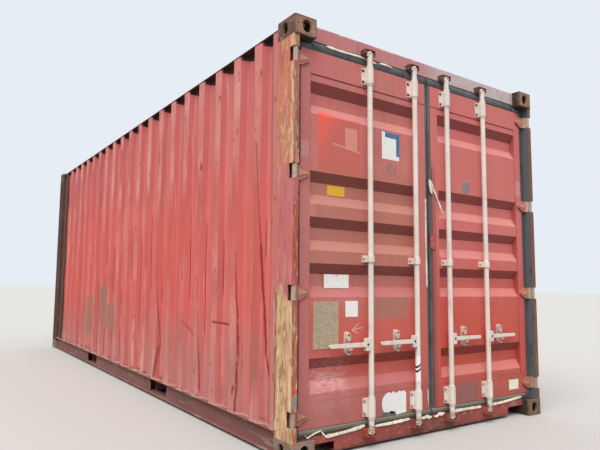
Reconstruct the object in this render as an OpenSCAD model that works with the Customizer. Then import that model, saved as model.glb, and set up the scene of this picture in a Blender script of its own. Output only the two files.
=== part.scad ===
// Steel freight container of the twenty foot general purpose size.
// The doors face +X, the left side wall is at -Y and the ground is at z = 0.

/* [Overall size] */
// Length over the corner castings
length = 6058; // [4000:1:9000]
// Width over the corner castings
width = 2438; // [2300:1:2600]
// Height over the corner castings
height = 2591; // [2400:1:2896]

/* [Corner castings] */
// Length of a corner casting along the container
casting_l = 178; // [170:1:190]
// Width of a corner casting across the container
casting_w = 162; // [155:1:175]
// Height of a corner casting
casting_h = 118; // [114:1:130]
// Wall thickness of a corner casting
casting_wall = 16; // [12:1:20]
// Radius of the casting's upright outer edge
casting_r = 13; // [5:1:14]
// Thickness of the casting face that a lock enters
casting_face = 28; // [24:1:32]
// Length of the lock slot
slot_l = 124.5; // [110:0.5:126]
// Width of the lock slot
slot_w = 63.5; // [55:0.5:66]
// Distance from the end plane to the centre of the lock slot
slot_from_end = 102.5; // [95:0.5:105]
// Distance from the side plane to the centre of the lock slot
slot_from_side = 89.5; // [85:0.5:95]
// Height of the side and end apertures
aperture_h = 79.5; // [70:0.5:82]
// Width of the side aperture
side_aperture_w = 51; // [45:0.5:64]
// Width of the end aperture
end_aperture_w = 63.5; // [50:0.5:66]

/* [Frame] */
// Setback of the plates from the side plane
side_setback = 1; // [0.5:0.5:3]
// Plate thickness of the posts
post_t = 6; // [4:0.5:8]
// Setback of the door posts from the end plane
post_setback = 8; // [4:1:12]
// Thickness of the inner channel of a door post
stop_t = 12; // [8:1:14]
// Depth of the hollow that the door hinges sit in
post_hollow = 28; // [26:1:34]
// Step from the post's inner face to the door stop
stop_step = 12; // [8:1:20]
// Section width of the front posts
front_post_w = 50; // [40:1:60]
// Height of the door header
header_h = 95; // [80:1:110]
// Drop of the door header below the casting tops
header_drop = 6; // [4:1:12]
// Setback of the door header from the end plane
header_setback = 63; // [55:1:75]
// Setback of the door sill from the end plane
sill_setback = 57; // [50:1:65]
// Wall thickness of header and sill
header_t = 4.5; // [3:0.5:6]
// Overlap of the door stop behind the leaf
stop_overlap = 21; // [12:1:30]
// Height of the member undersides above the ground
underside = 17; // [10:0.5:17]
// Width of the notch beside each casting in the sill
notch_w = 192; // [100:1:260]
// Height of the notch above the ground
notch_h = 75; // [60:1:90]
// Side of the square tube in the top rails and the front header
tube = 60; // [50:1:75]
// Wall thickness of the square tubes
tube_t = 3; // [2:0.5:5]
// Drop of the top rails below the casting tops
rail_drop = 36; // [30:1:45]
// Thickness of the lip over the side wall
lip_t = 6; // [4:0.5:8]
// Height of the bottom rails above the ground at their top
rail_top = 150; // [140:1:165]
// Plate thickness of the bottom rails
rail_t = 4.5; // [3:0.5:6]
// Width of the inner flange of the bottom rails
rail_flange = 48; // [35:1:60]
// Width of the lower flange of the bottom rails
rail_foot = 30; // [20:1:34]

/* [Sheets] */
// Sheet thickness of the walls and the door panels
sheet_t = 2; // [1.6:0.1:3]
// Depth of the side wall corrugations
wall_depth = 36; // [25:1:38]
// Width of an outer flat of the side wall
wall_flat = 72; // [50:1:90]
// Width of a slope of the side wall
wall_slope = 68; // [40:1:75]
// Wanted pitch of the side wall corrugations
wall_pitch = 275; // [265:1:330]
// Width of the flat strip beside each post
wall_end = 51; // [30:1:70]
// Distance from a post to the first ridge's centre
wall_first = 235; // [233:1:250]
// Depth of the front wall corrugations
front_depth = 45; // [30:1:46]
// Width of an outer flat of the front wall
front_flat = 110; // [80:1:120]
// Width of a slope of the front wall
front_slope = 18; // [12:1:30]
// Wanted pitch of the front wall corrugations
front_pitch = 250; // [240:1:300]
// Depth of the roof corrugations
roof_depth = 20; // [12:1:24]
// Width of a raised flat of the roof
roof_flat = 91; // [60:1:110]
// Width of a slope of the roof
roof_slope = 14; // [10:1:25]
// Wanted pitch of the roof corrugations
roof_pitch = 209; // [180:1:300]
// Length of the flat roof strip at each end
roof_end = 150; // [100:1:250]

/* [Base] */
// Thickness of the plywood floor
floor_t = 28; // [20:1:32]
// Wanted length of a plywood sheet
board_l = 1160; // [800:1:1400]
// Gap between plywood sheets
board_gap = 2; // [1:0.5:4]
// Height of the cross members
member_h = 122; // [100:1:125]
// Flange width of the cross members
member_w = 45; // [35:1:60]
// Plate thickness of the cross members
member_t = 4; // [3:0.5:6]
// Wanted pitch of the cross members
member_pitch = 300; // [250:1:400]
// Distance between the centres of the fork pockets
pocket_spacing = 2050; // [1800:1:2200]
// Width of a fork pocket
pocket_w = 360; // [300:1:400]
// Height of a fork pocket
pocket_h = 115; // [100:1:118]
// Width of the strap under each end of a pocket
strap_w = 60; // [40:1:200]

/* [Doors] */
// Setback of the door face from the end plane
door_setback = 59; // [55:1:62]
// Thickness of a door frame
leaf_t = 50; // [40:1:52]
// Gap between the leaf's back and the door stop
leaf_gap = 7; // [6:0.5:10]
// Width of the hinge side stile
stile_w = 81; // [70:1:100]
// Width of the meeting stile
meet_stile_w = 75; // [60:1:90]
// Height of the door rails
door_rail_h = 151; // [140:1:170]
// Wall thickness of the stiles
stile_t = 3.2; // [2:0.2:5]
// Wall thickness of the door rails
door_rail_t = 4; // [2:0.5:5]
// Depth of the grooves in the door panel
groove_depth = 36; // [20:1:40]
// Height of a groove's floor
groove_floor = 75; // [50:1:90]
// Height of a groove's slope
groove_slope = 63; // [30:1:70]
// Distance of the outer grooves from the door rails
groove_margin = 44; // [20:1:80]
// Width of the gasket at the hinge side
gasket_side = 36; // [30:1:45]
// Width of the gasket at the meeting edge
gasket_meet = 25; // [20:1:35]
// Width of the gasket at the top
gasket_top = 41; // [25:1:50]
// Width of the gasket at the bottom
gasket_bottom = 42; // [30:1:55]
// Thickness of the gasket
gasket_t = 26; // [15:1:30]
// Setback of the gasket from the door face
gasket_setback = 5; // [4:1:10]
// Setback of the door panel from the door face
panel_setback = 3; // [0:0.5:6]
// Gap around the gasket
gasket_gap = 5; // [5:0.5:8]
// Gap between the hinge side gasket and the post
gasket_post_gap = 6; // [5:0.5:8]
// Gap between the two doors
meet_gap = 10; // [8:0.5:16]

/* [Hinges] */
// Distance of the hinge pins from the end plane
pin_from_end = 24; // [22:0.5:26]
// Distance of the hinge pins from the side plane
pin_from_side = 24; // [22:0.5:25]
// Radius of the hinge pins
pin_r = 9; // [6:0.5:9]
// Radius of the hinge knuckles
knuckle_r = 15; // [12:0.5:15]
// Height of the hinge knuckles
knuckle_h = 86; // [60:1:100]
// Gap above and below a knuckle
knuckle_gap = 2; // [1:0.5:4]
// Thickness of the hinge lugs in the posts
lug_t = 12; // [8:1:16]
// Distance of the outer hinges from the door's ends
hinge_from_end = 75; // [60:1:200]
// Thickness of the hinge blades
blade_t = 11; // [6:1:11]
// Reach of the blades from the pin
blade_l = 125; // [100:1:135]
// Half height of a blade at its tip
blade_tip = 20; // [14:1:26]

/* [Locking gear] */
// Radius of the locking bars
bar_r = 17; // [13:0.5:18]
// Distance of the bars from the end plane
bar_from_end = 24; // [22:0.5:26]
// Distance of the inner bars from the middle
bar_inner = 170; // [140:1:220]
// Distance of the outer bars from the middle
bar_outer = 594; // [500:1:700]
// Running clearance of pins and bars
running = 0.1; // [0.05:0.01:0.1]
// Radius of the bearing housings
housing_r = 24; // [21:0.5:24]
// Width of the bracket plates
bracket_w = 84; // [70:1:120]
// Height of the bracket plates
bracket_h = 110; // [90:1:140]
// Thickness of the bracket plates
bracket_t = 6; // [4:1:10]
// Height of the middle guides from the mid height of the door
guide_z = -139; // [-260:1:120]
// Length of the middle guides
guide_l = 42; // [30:1:60]
// Radius of the collars beside the housings
collar_r = 21; // [19:0.5:23]
// Height of the collars
collar_h = 10; // [6:1:14]
// Gap between a collar and its housing
collar_gap = 2; // [1:0.5:4]
// Radius of the cam necks
neck_r = 11; // [8:1:14]
// Height of the cams
cam_h = 32; // [26:1:40]
// Reach of the cam lobes from the bar's axis
cam_reach = 27; // [22:1:29]
// Thickness of the cam lobes
cam_t = 16; // [10:1:20]
// Height of the gap between the bar's tube and its cam lobes
cam_neck = 6; // [4:1:12]
// Distance of the upper cams from the header's lower edge
cam_rise = 10; // [4:1:20]
// Distance of the lower cams from the sill's top
cam_sink = 21; // [20:1:30]
// Clearance of the keepers around the cam lobes
keeper_gap = 8; // [6:0.5:12]
// Thickness of the keeper cheeks
cheek_t = 9; // [6:1:12]
// Depth of the keeper cheeks in front of the bar's axis
cheek_x = 8; // [0:1:14]
// Gap between a cam's end and its keeper
keeper_end_gap = 6; // [5:0.5:10]
// Height of the handles above the door's lower edge
handle_rise = 462; // [380:1:620]
// Length of the handles from pivot to tip
handle_l = 290; // [240:1:300]
// Thickness of the handles
handle_t = 10; // [8:1:12]
// Half height of the handles at the pivot
handle_eye = 14; // [11:0.5:14]
// Half height of the handles at the tip
handle_tip = 11; // [7:0.5:12]
// Distance of the handle pivot from the bar's axis
pivot_from_bar = 36; // [35:1:42]
// Height of the handle hubs
hub_h = 76; // [50:1:90]
// Radius of the handle rivets
rivet_r = 6; // [4:0.5:7]
// Distance of the handle retainers from the bar's axis
retainer_from_bar = 174; // [150:1:230]
// Width of the handle retainers
retainer_w = 38; // [30:1:60]
// Height of the retainer's top above the handle
retainer_up = 80; // [60:1:110]
// Depth of the retainer's foot below the handle
retainer_down = 62; // [50:1:90]
// Radius of the retainer holes
retainer_hole_r = 7; // [4:0.5:9]
// Height of the overlap plate
plate_h = 98; // [60:1:140]
// Width of the overlap plate
plate_w = 58; // [40:1:66]

/* [Hidden] */
hl = length / 2;
hw = width / 2;
eps = 1;

// Planes of the frame
side_y = hw - side_setback;
casting_x = hl - casting_l;
casting_y = hw - casting_w;
post_x = hl - post_setback;
post_y = side_y - 2 * post_t - post_hollow;
door_x = hl - door_setback;
leaf_x = door_x - leaf_t;
stop_x = leaf_x - leaf_gap;
stop_y = post_y - stop_step;
header_x = hl - header_setback;
sill_x = hl - sill_setback;
header_z = height - header_drop - header_h;
header_top = height - header_drop;
sill_z = casting_h;
opening_z = height - casting_h;
roof_z = height - rail_drop;
valley_y = side_y - 2 - wall_depth;
tube_y = valley_y - sheet_t;

// Planes of the doors
gasket_y = post_y - gasket_post_gap;
gasket_z0 = sill_z + gasket_gap;
gasket_z1 = opening_z - gasket_gap;
leaf_y1 = gasket_y - gasket_side;
leaf_y0 = meet_gap / 2 + gasket_meet;
leaf_z0 = gasket_z0 + gasket_bottom;
leaf_z1 = gasket_z1 - gasket_top;
panel_y0 = leaf_y0 + meet_stile_w;
panel_y1 = leaf_y1 - stile_w;
panel_z0 = leaf_z0 + door_rail_h;
panel_z1 = leaf_z1 - door_rail_h;
door_mid = (leaf_z0 + leaf_z1) / 2;
groove_half = groove_floor / 2 + groove_slope;
groove_pitch = ((panel_z1 - panel_z0) / 2 - groove_margin - groove_half) / 3;
gasket_x = door_x - gasket_setback;
panel_x = door_x - panel_setback;

// Axes of the hinges and the locking bars
pin_x = hl - pin_from_end;
pin_y = hw - pin_from_side;
hinge_reach = (leaf_z1 - leaf_z0) / 2 - hinge_from_end;
hinge_zs = [for (part = [-1, -1 / 3, 1 / 3, 1]) door_mid + part * hinge_reach];
bar_x = hl - bar_from_end;
cam_z1 = header_z + cam_rise;
cam_z0 = sill_z - cam_sink;
lever_z = leaf_z0 + handle_rise;
handle_x = bar_x - handle_t / 2;
bracket_z1 = (panel_z1 + leaf_z1) / 2;
bracket_z0 = (panel_z0 + leaf_z0) / 2;
pocket_z = rail_top - tube_t - pocket_h;

rust = [0.62, 0.42, 0.30];
red = [0.72, 0.35, 0.32];
deep_red = [0.60, 0.25, 0.24];
cream = [0.86, 0.82, 0.76];
rubber = [0.28, 0.30, 0.30];
wood = [0.62, 0.48, 0.33];
zinc = [0.72, 0.71, 0.68];

// A box between two corners
module block(low, high) {
    translate(low)
        cube(high - low);
}

// A copy on the left or the right side, from a form drawn for the right side
module on_side(side) {
    if (side < 0) {
        mirror([0, 1, 0])
            children();
    } else {
        children();
    }
}

// A slot with round ends through the Z axis, long along X
module long_hole(l, w, h) {
    for (x = [-1, 1])
        translate([x * (l - w) / 2, 0, 0])
            cylinder(d = w, h = h, $fn = 48);
    translate([-(l - w) / 2, -w / 2, 0])
        cube([l - w, w, h]);
}

// The casting's outside, with its outer upright edge rounded
module rounded_corner_block() {
    linear_extrude(casting_h)
        difference() {
            translate([casting_x, casting_y])
                square([casting_l, casting_w]);
            translate([hl - casting_r, hw - casting_r])
                difference() {
                    square(casting_r + eps);
                    circle(r = casting_r, $fn = 48);
                }
        }
}

// One bottom casting, at the door end on the right side
module casting() {
    slot_x = hl - slot_from_end;
    slot_y = hw - slot_from_side;
    mid_z = casting_h / 2;
    difference() {
        rounded_corner_block();
        block([casting_x + casting_wall, casting_y + casting_wall, casting_face],
              [hl - casting_wall, hw - casting_wall, casting_h - casting_wall]);
        translate([slot_x, slot_y, -eps])
            long_hole(slot_l, slot_w, casting_face + 2 * eps);
        translate([slot_x, hw + eps, mid_z])
            rotate([90, -90, 0])
                long_hole(aperture_h, side_aperture_w, casting_wall + 2 * eps);
        translate([hl + eps, slot_y, mid_z])
            rotate([0, -90, 0])
                long_hole(aperture_h, end_aperture_w, casting_wall + 2 * eps);
    }
}

module four_corners() {
    for (x = [0, 1])
        for (y = [0, 1])
            mirror([x, 0, 0])
                mirror([0, y, 0])
                    children();
}

module bottom_corner_castings() {
    color(rust)
        four_corners()
            casting();
}

module top_corner_castings() {
    color(rust)
        four_corners()
            translate([0, 0, height])
                mirror([0, 0, 1])
                    casting();
}

// The door post is a folded plate with a hollow for the hinges and an inner door stop
module door_post_section() {
    difference() {
        union() {
            translate([casting_x, stop_y])
                square([stop_x - casting_x, side_y - stop_y]);
            translate([casting_x, post_y])
                square([post_x - casting_x, side_y - post_y]);
        }
        translate([casting_x + post_t, stop_y + stop_t])
            square([stop_x - casting_x - 2 * post_t, side_y - post_t - stop_y - stop_t]);
        translate([stop_x, post_y + post_t])
            square([post_x - post_t - stop_x, side_y - post_y - 2 * post_t]);
    }
}

module door_post(side) {
    gap = knuckle_h / 2 + knuckle_gap;
    color(rust)
        on_side(side)
            difference() {
                translate([0, 0, casting_h])
                    linear_extrude(height - 2 * casting_h)
                        door_post_section();
                for (z = hinge_zs) {
                    block([pin_x - 28, post_y + post_t, z - gap],
                          [post_x + eps, side_y + eps, z + gap]);
                    block([door_x - 5, post_y - eps, z - gap],
                          [post_x + eps, post_y + post_t + eps, z + gap]);
                }
            }
}

// The front post is an angle of two hollow legs
module front_post(side) {
    x0 = -hl + side_setback;
    inner_y = side_y - front_post_w;
    color(rust)
        on_side(side)
            translate([0, 0, casting_h])
                linear_extrude(height - 2 * casting_h)
                    difference() {
                        union() {
                            translate([x0, inner_y])
                                square([-casting_x - x0, front_post_w]);
                            translate([x0, casting_y])
                                square([front_post_w, side_y - casting_y]);
                        }
                        translate([x0 + post_t, inner_y + post_t])
                            square([-casting_x - x0 - 2 * post_t, front_post_w - 2 * post_t]);
                        translate([x0 + post_t, casting_y + post_t])
                            square([front_post_w - 2 * post_t, inner_y - casting_y]);
                    }
}

// A hollow beam across the container, from a profile given as (x, z) corner pairs
module cross_tube(x0, z0, x1, z1, t) {
    difference() {
        block([x0, -casting_y, z0], [x1, casting_y, z1]);
        block([x0 + t, -casting_y - eps, z0 + t], [x1 - t, casting_y + eps, z1 - t]);
    }
}

module door_header() {
    color(red) {
        cross_tube(casting_x, header_z, header_x, header_top, header_t);
        cross_tube(casting_x, opening_z - stop_overlap, stop_x, header_z + header_t, header_t);
    }
}

module door_sill() {
    color(deep_red)
        difference() {
            union() {
                cross_tube(casting_x, underside, sill_x, sill_z, header_t);
                cross_tube(casting_x, sill_z - header_t, stop_x, rail_top + floor_t, header_t);
            }
            for (side = [-1, 1])
                on_side(side)
                    block([casting_x + header_t, casting_y - notch_w, underside - eps],
                          [sill_x + eps, casting_y + eps, notch_h]);
        }
}

module front_header() {
    color(deep_red) {
        cross_tube(-hl + 4, header_top - tube, -hl + 4 + tube, header_top, tube_t);
        block([-hl + 4 + tube, -casting_y, roof_z], [-casting_x, casting_y, roof_z + header_t]);
    }
}

module front_sill() {
    color(deep_red)
        cross_tube(-hl + 4, underside, -hl + 4 + tube, rail_top, header_t);
}

// Tube with a lip that covers the tops of the wall corrugations
module top_rail(side) {
    color(red)
        on_side(side) {
            difference() {
                block([-casting_x, tube_y - tube, roof_z - tube], [casting_x, tube_y, roof_z]);
                block([-casting_x - eps, tube_y - tube + tube_t, roof_z - tube + tube_t],
                      [casting_x + eps, tube_y - tube_t, roof_z - tube_t]);
            }
            block([-casting_x, tube_y, roof_z - lip_t], [casting_x, side_y, roof_z]);
        }
}

// Pressed rail with a foot flange, open where the forks go in
module bottom_rail(side) {
    web_y = valley_y - sheet_t;
    color(deep_red)
        on_side(side)
            difference() {
                union() {
                    block([-casting_x, web_y, underside], [casting_x, web_y + rail_t, rail_top]);
                    block([-casting_x, web_y - rail_flange, rail_top - rail_t],
                          [casting_x, side_y, rail_top]);
                    block([-casting_x, web_y, underside],
                          [casting_x, web_y + rail_foot + rail_t, underside + rail_t]);
                }
                for (x = [-1, 1])
                    translate([x * pocket_spacing / 2, 0, 0])
                        block([-pocket_w / 2, web_y - eps, pocket_z],
                              [pocket_w / 2, web_y + rail_t + eps, pocket_z + pocket_h]);
            }
}

// Ridges of a folded sheet: the flats are at depth 0 and the valleys at the full depth
function ridge(c, flat, slope, depth) = [
    [c - flat / 2 - slope, depth], [c - flat / 2, 0], [c + flat / 2, 0], [c + flat / 2 + slope, depth]
];
function ridges(l, first, pitch, flat, slope, depth) =
    let (span = l - 2 * first, n = max(1, round(span / pitch)))
    [for (i = [0:n]) each ridge(-span / 2 + i * span / n, flat, slope, depth)];
function folded_line(l, end, first, pitch, flat, slope, depth) = concat(
    [[-l / 2, 0], [-l / 2 + end, 0], [-l / 2 + end + slope, depth]],
    ridges(l, first, pitch, flat, slope, depth),
    [[l / 2 - end - slope, depth], [l / 2 - end, 0], [l / 2, 0]]
);

// A sheet of the given thickness behind a folded line
module folded_sheet(line, t) {
    back = [for (i = [len(line) - 1:-1:0]) line[i] + [0, t]];
    polygon(concat(line, back));
}

module side_wall(side) {
    line = folded_line(2 * casting_x, wall_end, wall_first, wall_pitch,
                       wall_flat, wall_slope, wall_depth);
    color(red)
        on_side(side)
            translate([0, side_y - 2, rail_top])
                mirror([0, 1, 0])
                    linear_extrude(roof_z - lip_t - rail_top)
                        folded_sheet(line, sheet_t);
}

module front_wall() {
    first = front_flat + front_slope + 20;
    line = folded_line(2 * casting_y, front_flat / 2, first + 20, front_pitch,
                       front_flat, front_slope, front_depth);
    color(red)
        translate([-hl + 6, 0, rail_top])
            rotate([0, 0, 90])
                mirror([0, 1, 0])
                    linear_extrude(header_top - tube - rail_top)
                        folded_sheet(line, sheet_t);
}

// Pressed roof with closed ends on its cross corrugations
module roof() {
    half = casting_x;
    inner_y = tube_y - tube;
    span = 2 * (half - roof_end);
    n = max(1, round((span - roof_flat - 2 * roof_slope) / roof_pitch));
    step = (span - roof_flat - 2 * roof_slope) / n;
    foot = roof_flat + 2 * roof_slope;
    color(red)
        translate([0, 0, roof_z])
            difference() {
                union() {
                    block([-half, -tube_y, 0], [half, tube_y, sheet_t]);
                    for (i = [0:n])
                        translate([-n * step / 2 + i * step, inner_y, 0])
                            rotate([90, 0, 0])
                                linear_extrude(2 * inner_y)
                                    polygon([[-foot / 2, 0], [foot / 2, 0],
                                             [roof_flat / 2, roof_depth], [-roof_flat / 2, roof_depth]]);
                }
                for (i = [0:n])
                    translate([-n * step / 2 + i * step, inner_y - sheet_t, 0])
                        rotate([90, 0, 0])
                            linear_extrude(2 * (inner_y - sheet_t))
                                polygon([[-foot / 2 + sheet_t, -eps], [foot / 2 - sheet_t, -eps],
                                         [foot / 2 - sheet_t, 0],
                                         [roof_flat / 2 - sheet_t / 2, roof_depth - sheet_t],
                                         [-roof_flat / 2 + sheet_t / 2, roof_depth - sheet_t],
                                         [-foot / 2 + sheet_t, 0]]);
            }
}

module plywood_floor() {
    n = max(1, round(2 * casting_x / board_l));
    step = 2 * casting_x / n;
    half_y = tube_y - 2;
    color(wood)
        translate([0, 0, rail_top]) {
            for (i = [0:n - 1])
                for (y = [-1, 1])
                    translate([-casting_x + i * step, 0, 0])
                        on_side(y)
                            block([board_gap / 2, board_gap / 2, 0],
                                  [step - board_gap / 2, half_y, floor_t]);
            block([-hl + 4 + front_depth + 10, -casting_y + 1, 0],
                  [-casting_x - board_gap / 2, casting_y - 1, floor_t]);
        }
}

// Channel beam across the container with its web at x = 0
module channel(h, w, t, half_y) {
    block([0, -half_y, rail_top - h], [t, half_y, rail_top]);
    block([0, -half_y, rail_top - h], [w, half_y, rail_top - h + t]);
    block([0, -half_y, rail_top - t], [w, half_y, rail_top]);
}

function near_pocket(x) =
    abs(abs(x) - pocket_spacing / 2) < pocket_w / 2 + member_w + 30;

module cross_members() {
    n = max(1, round(2 * casting_x / member_pitch));
    step = 2 * casting_x / n;
    half_y = tube_y - rail_flange;
    color(deep_red)
        for (i = [1:n - 1]) {
            x = -casting_x + i * step - member_w / 2;
            if (!near_pocket(x + member_w / 2))
                translate([x, 0, 0])
                    channel(member_h, member_w, member_t, half_y);
        }
}

module fork_pockets() {
    half_y = tube_y;
    inner_y = tube_y - rail_flange;
    color(deep_red)
        for (x = [-1, 1])
            translate([x * pocket_spacing / 2, 0, 0]) {
                for (s = [0, 1])
                    mirror([s, 0, 0])
                        translate([pocket_w / 2, 0, 0])
                            channel(member_h, member_w, member_t, inner_y);
                block([-pocket_w / 2, -inner_y, rail_top - member_t],
                      [pocket_w / 2, inner_y, rail_top]);
                for (y = [-1, 1])
                    on_side(y)
                        block([-pocket_w / 2 - member_w, half_y - strap_w, underside],
                              [pocket_w / 2 + member_w, half_y, rail_top - member_h]);
            }
}

// Fixed pin between two lugs inside the hollow of the door post
module hinge_pins() {
    gap = knuckle_h / 2 + knuckle_gap;
    color(rust)
        for (side = [-1, 1])
            on_side(side)
                for (z = hinge_zs)
                    translate([0, 0, z]) {
                        for (s = [0, 1])
                            mirror([0, 0, s])
                                block([pin_x - 22, post_y + post_t, gap],
                                      [post_x - post_t, side_y - post_t, gap + lug_t]);
                        translate([pin_x, pin_y, -gap - lug_t])
                            cylinder(r = pin_r, h = 2 * (gap + lug_t), $fn = 48);
                    }
}

// Cradle of two cheeks and a closing plate around a cam, whose middle is at z = 0
module keeper(face_x, foot) {
    half = cam_reach + keeper_gap;
    end = cam_h / 2 + keeper_end_gap;
    for (y = [-half - cheek_t, half])
        block([face_x, y, -foot], [bar_x + cheek_x, y + cheek_t, end]);
    block([face_x, -half - cheek_t, end], [bar_x + cheek_x, half + cheek_t, end + cheek_t / 2]);
}

module header_keepers() {
    color(rust)
        for (side = [-1, 1])
            for (y = [bar_inner, bar_outer])
                on_side(side)
                    translate([0, y, cam_z1])
                        keeper(header_x, cam_rise - 2);
}

module sill_keepers() {
    color(rust)
        for (side = [-1, 1])
            for (y = [bar_inner, bar_outer])
                on_side(side)
                    translate([0, y, cam_z0])
                        mirror([0, 0, 1])
                            keeper(sill_x, cam_sink - 2);
}

// Two tube stiles and two channel rails that open towards the inside
module door_frame(side) {
    color(red)
        on_side(side) {
            for (ys = [[leaf_y0, panel_y0], [panel_y1, leaf_y1]])
                difference() {
                    block([leaf_x, ys[0], leaf_z0], [door_x, ys[1], leaf_z1]);
                    block([leaf_x + stile_t, ys[0] + stile_t, leaf_z0 - eps],
                          [door_x - stile_t, ys[1] - stile_t, leaf_z1 + eps]);
                }
            for (zs = [[leaf_z0, panel_z0], [panel_z1, leaf_z1]])
                difference() {
                    block([leaf_x, panel_y0, zs[0]], [door_x, panel_y1, zs[1]]);
                    block([leaf_x - eps, panel_y0 - eps, zs[0] + door_rail_t],
                          [door_x - door_rail_t, panel_y1 + eps, zs[1] - door_rail_t]);
                }
        }
}

// Five grooves across the panel, in the places 0, 1 and 3 from the middle
function groove(z) = [
    [z - groove_half, 0], [z - groove_floor / 2, groove_depth],
    [z + groove_floor / 2, groove_depth], [z + groove_half, 0]
];

module door_panel(side) {
    line = concat(
        [[panel_z0, 0]],
        [for (k = [-3, -1, 0, 1, 3]) each groove(door_mid + k * groove_pitch)],
        [[panel_z1, 0]]
    );
    color(red)
        on_side(side)
            translate([panel_x, panel_y1, 0])
                rotate([0, -90, 90])
                    linear_extrude(panel_y1 - panel_y0)
                        folded_sheet(line, sheet_t);
}

// Ring around the leaf, with a taller lip between the castings
module door_gasket(side) {
    color(rubber)
        on_side(side)
            difference() {
                union() {
                    block([gasket_x - gasket_t, meet_gap / 2, gasket_z0],
                          [gasket_x, gasket_y, gasket_z1]);
                    block([gasket_x - gasket_t / 2, meet_gap / 2, gasket_z1 - eps],
                          [gasket_x, casting_y - 7, header_z - gasket_gap]);
                }
                block([gasket_x - gasket_t - eps, leaf_y0, leaf_z0],
                      [gasket_x + eps, leaf_y1, leaf_z1]);
            }
}

// Knuckle, crank and tapered blade of one hinge
module hinge_blade() {
    bend_y = pin_y - 32;
    tip_y = pin_y - blade_l + blade_tip;
    taper_y = bend_y - 33;
    difference() {
        union() {
            cylinder_at(pin_x, pin_y, knuckle_r, knuckle_h);
            translate([0, 0, -knuckle_h / 2])
                linear_extrude(knuckle_h)
                    polygon([[door_x, taper_y], [door_x, pin_y - 25], [pin_x - 11, pin_y - 6],
                             [pin_x - 5, pin_y - 12], [door_x + blade_t, bend_y],
                             [door_x + blade_t, taper_y]]);
            translate([door_x, 0, 0])
                rotate([90, 0, 90])
                    linear_extrude(blade_t)
                        polygon([[taper_y, -knuckle_h / 2], [taper_y, knuckle_h / 2],
                                 [tip_y, blade_tip], [tip_y, -blade_tip]]);
            translate([door_x, tip_y, 0])
                rotate([0, 90, 0])
                    cylinder(r = blade_tip, h = blade_t, $fn = 48);
        }
        translate([0, 0, -eps])
            cylinder_at(pin_x, pin_y, pin_r + running, knuckle_h + 4 * eps);
    }
}

// An upright cylinder whose middle is at z = 0
module cylinder_at(x, y, r, h) {
    translate([x, y, -h / 2])
        cylinder(r = r, h = h, $fn = 64);
}

module hinge_blades(side) {
    color(red)
        on_side(side)
            for (z = hinge_zs)
                translate([0, 0, z])
                    hinge_blade();
}

// Plate on the door, at the given face, with a housing around the bar
module bar_bracket(face_x, y, z, w, h) {
    translate([0, y, z])
        difference() {
            union() {
                block([face_x, -w / 2, -h / 2], [door_x + bracket_t, w / 2, h / 2]);
                block([face_x, -housing_r, -h / 2], [bar_x, housing_r, h / 2]);
                cylinder_at(bar_x, 0, housing_r, h);
            }
            cylinder_at(bar_x, 0, bar_r + running, h + 4 * eps);
        }
}

module bar_brackets(side) {
    color(cream)
        on_side(side)
            for (y = [bar_inner, bar_outer]) {
                bar_bracket(door_x, y, bracket_z1, bracket_w, bracket_h);
                bar_bracket(door_x, y, bracket_z0, bracket_w, bracket_h);
                bar_bracket(panel_x, y, door_mid + guide_z, bracket_w, guide_l);
            }
}

// A plate with round ends across Y and Z, from its lowest to its highest point
module rounded_plate(w, low, high, t) {
    rotate([90, 0, 90])
        linear_extrude(t) {
            for (z = [low + w / 2, high - w / 2])
                translate([0, z])
                    circle(d = w, $fn = 48);
            translate([-w / 2, low + w / 2])
                square([w, high - low - w]);
        }
}

// Backing plate, a raised eye above the handle and a hook with an eye below it
module handle_retainer(y) {
    eye_t = handle_x - gasket_gap - panel_x;
    plate_t = 5 + panel_setback;
    hook_z = -handle_eye - 5;
    translate([panel_x, y + retainer_from_bar, lever_z])
        difference() {
            union() {
                rounded_plate(retainer_w, -retainer_down, retainer_up, plate_t);
                rounded_plate(retainer_w * 0.8, handle_eye + 8, retainer_up - 3, eye_t);
                rounded_plate(retainer_w * 0.8, -retainer_down + 3, hook_z, eye_t);
                block([0, -retainer_w * 0.3, hook_z - 9],
                      [handle_x + handle_t + 4 - panel_x, retainer_w * 0.3, hook_z]);
            }
            for (z = [retainer_up - retainer_w / 2, -retainer_down + retainer_w / 2])
                translate([plate_t, 0, z])
                    rotate([0, 90, 0])
                        cylinder(r = retainer_hole_r, h = eye_t, $fn = 48);
        }
}

module handle_retainers(side) {
    color(cream)
        on_side(side)
            for (y = [bar_inner, bar_outer])
                handle_retainer(y);
}

module overlap_plate() {
    color(deep_red)
        block([door_x, meet_gap / 2 + 2, door_mid - plate_h / 2 + 4],
              [door_x + bracket_t, meet_gap / 2 + 2 + plate_w, door_mid + plate_h / 2 + 4]);
}

// Neck and lobes at the end of a bar, drawn upwards from the tube's end
module cam() {
    cylinder(r = neck_r, h = cam_neck + cam_h, $fn = 48);
    translate([0, 0, cam_neck])
        linear_extrude(cam_h - 6) {
            translate([-cam_t / 2, -cam_reach + cam_t / 2])
                square([cam_t, 2 * cam_reach - cam_t]);
            for (y = [-1, 1])
                translate([0, y * (cam_reach - cam_t / 2)])
                    circle(d = cam_t, $fn = 36);
        }
}

// Collars that keep the bar from sliding in a housing
module collars(z) {
    reach = bracket_h / 2 + collar_gap;
    for (s = [0, 1])
        translate([0, 0, z])
            mirror([0, 0, s])
                translate([0, 0, reach])
                    cylinder(r = collar_r, h = collar_h, $fn = 48);
}

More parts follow.
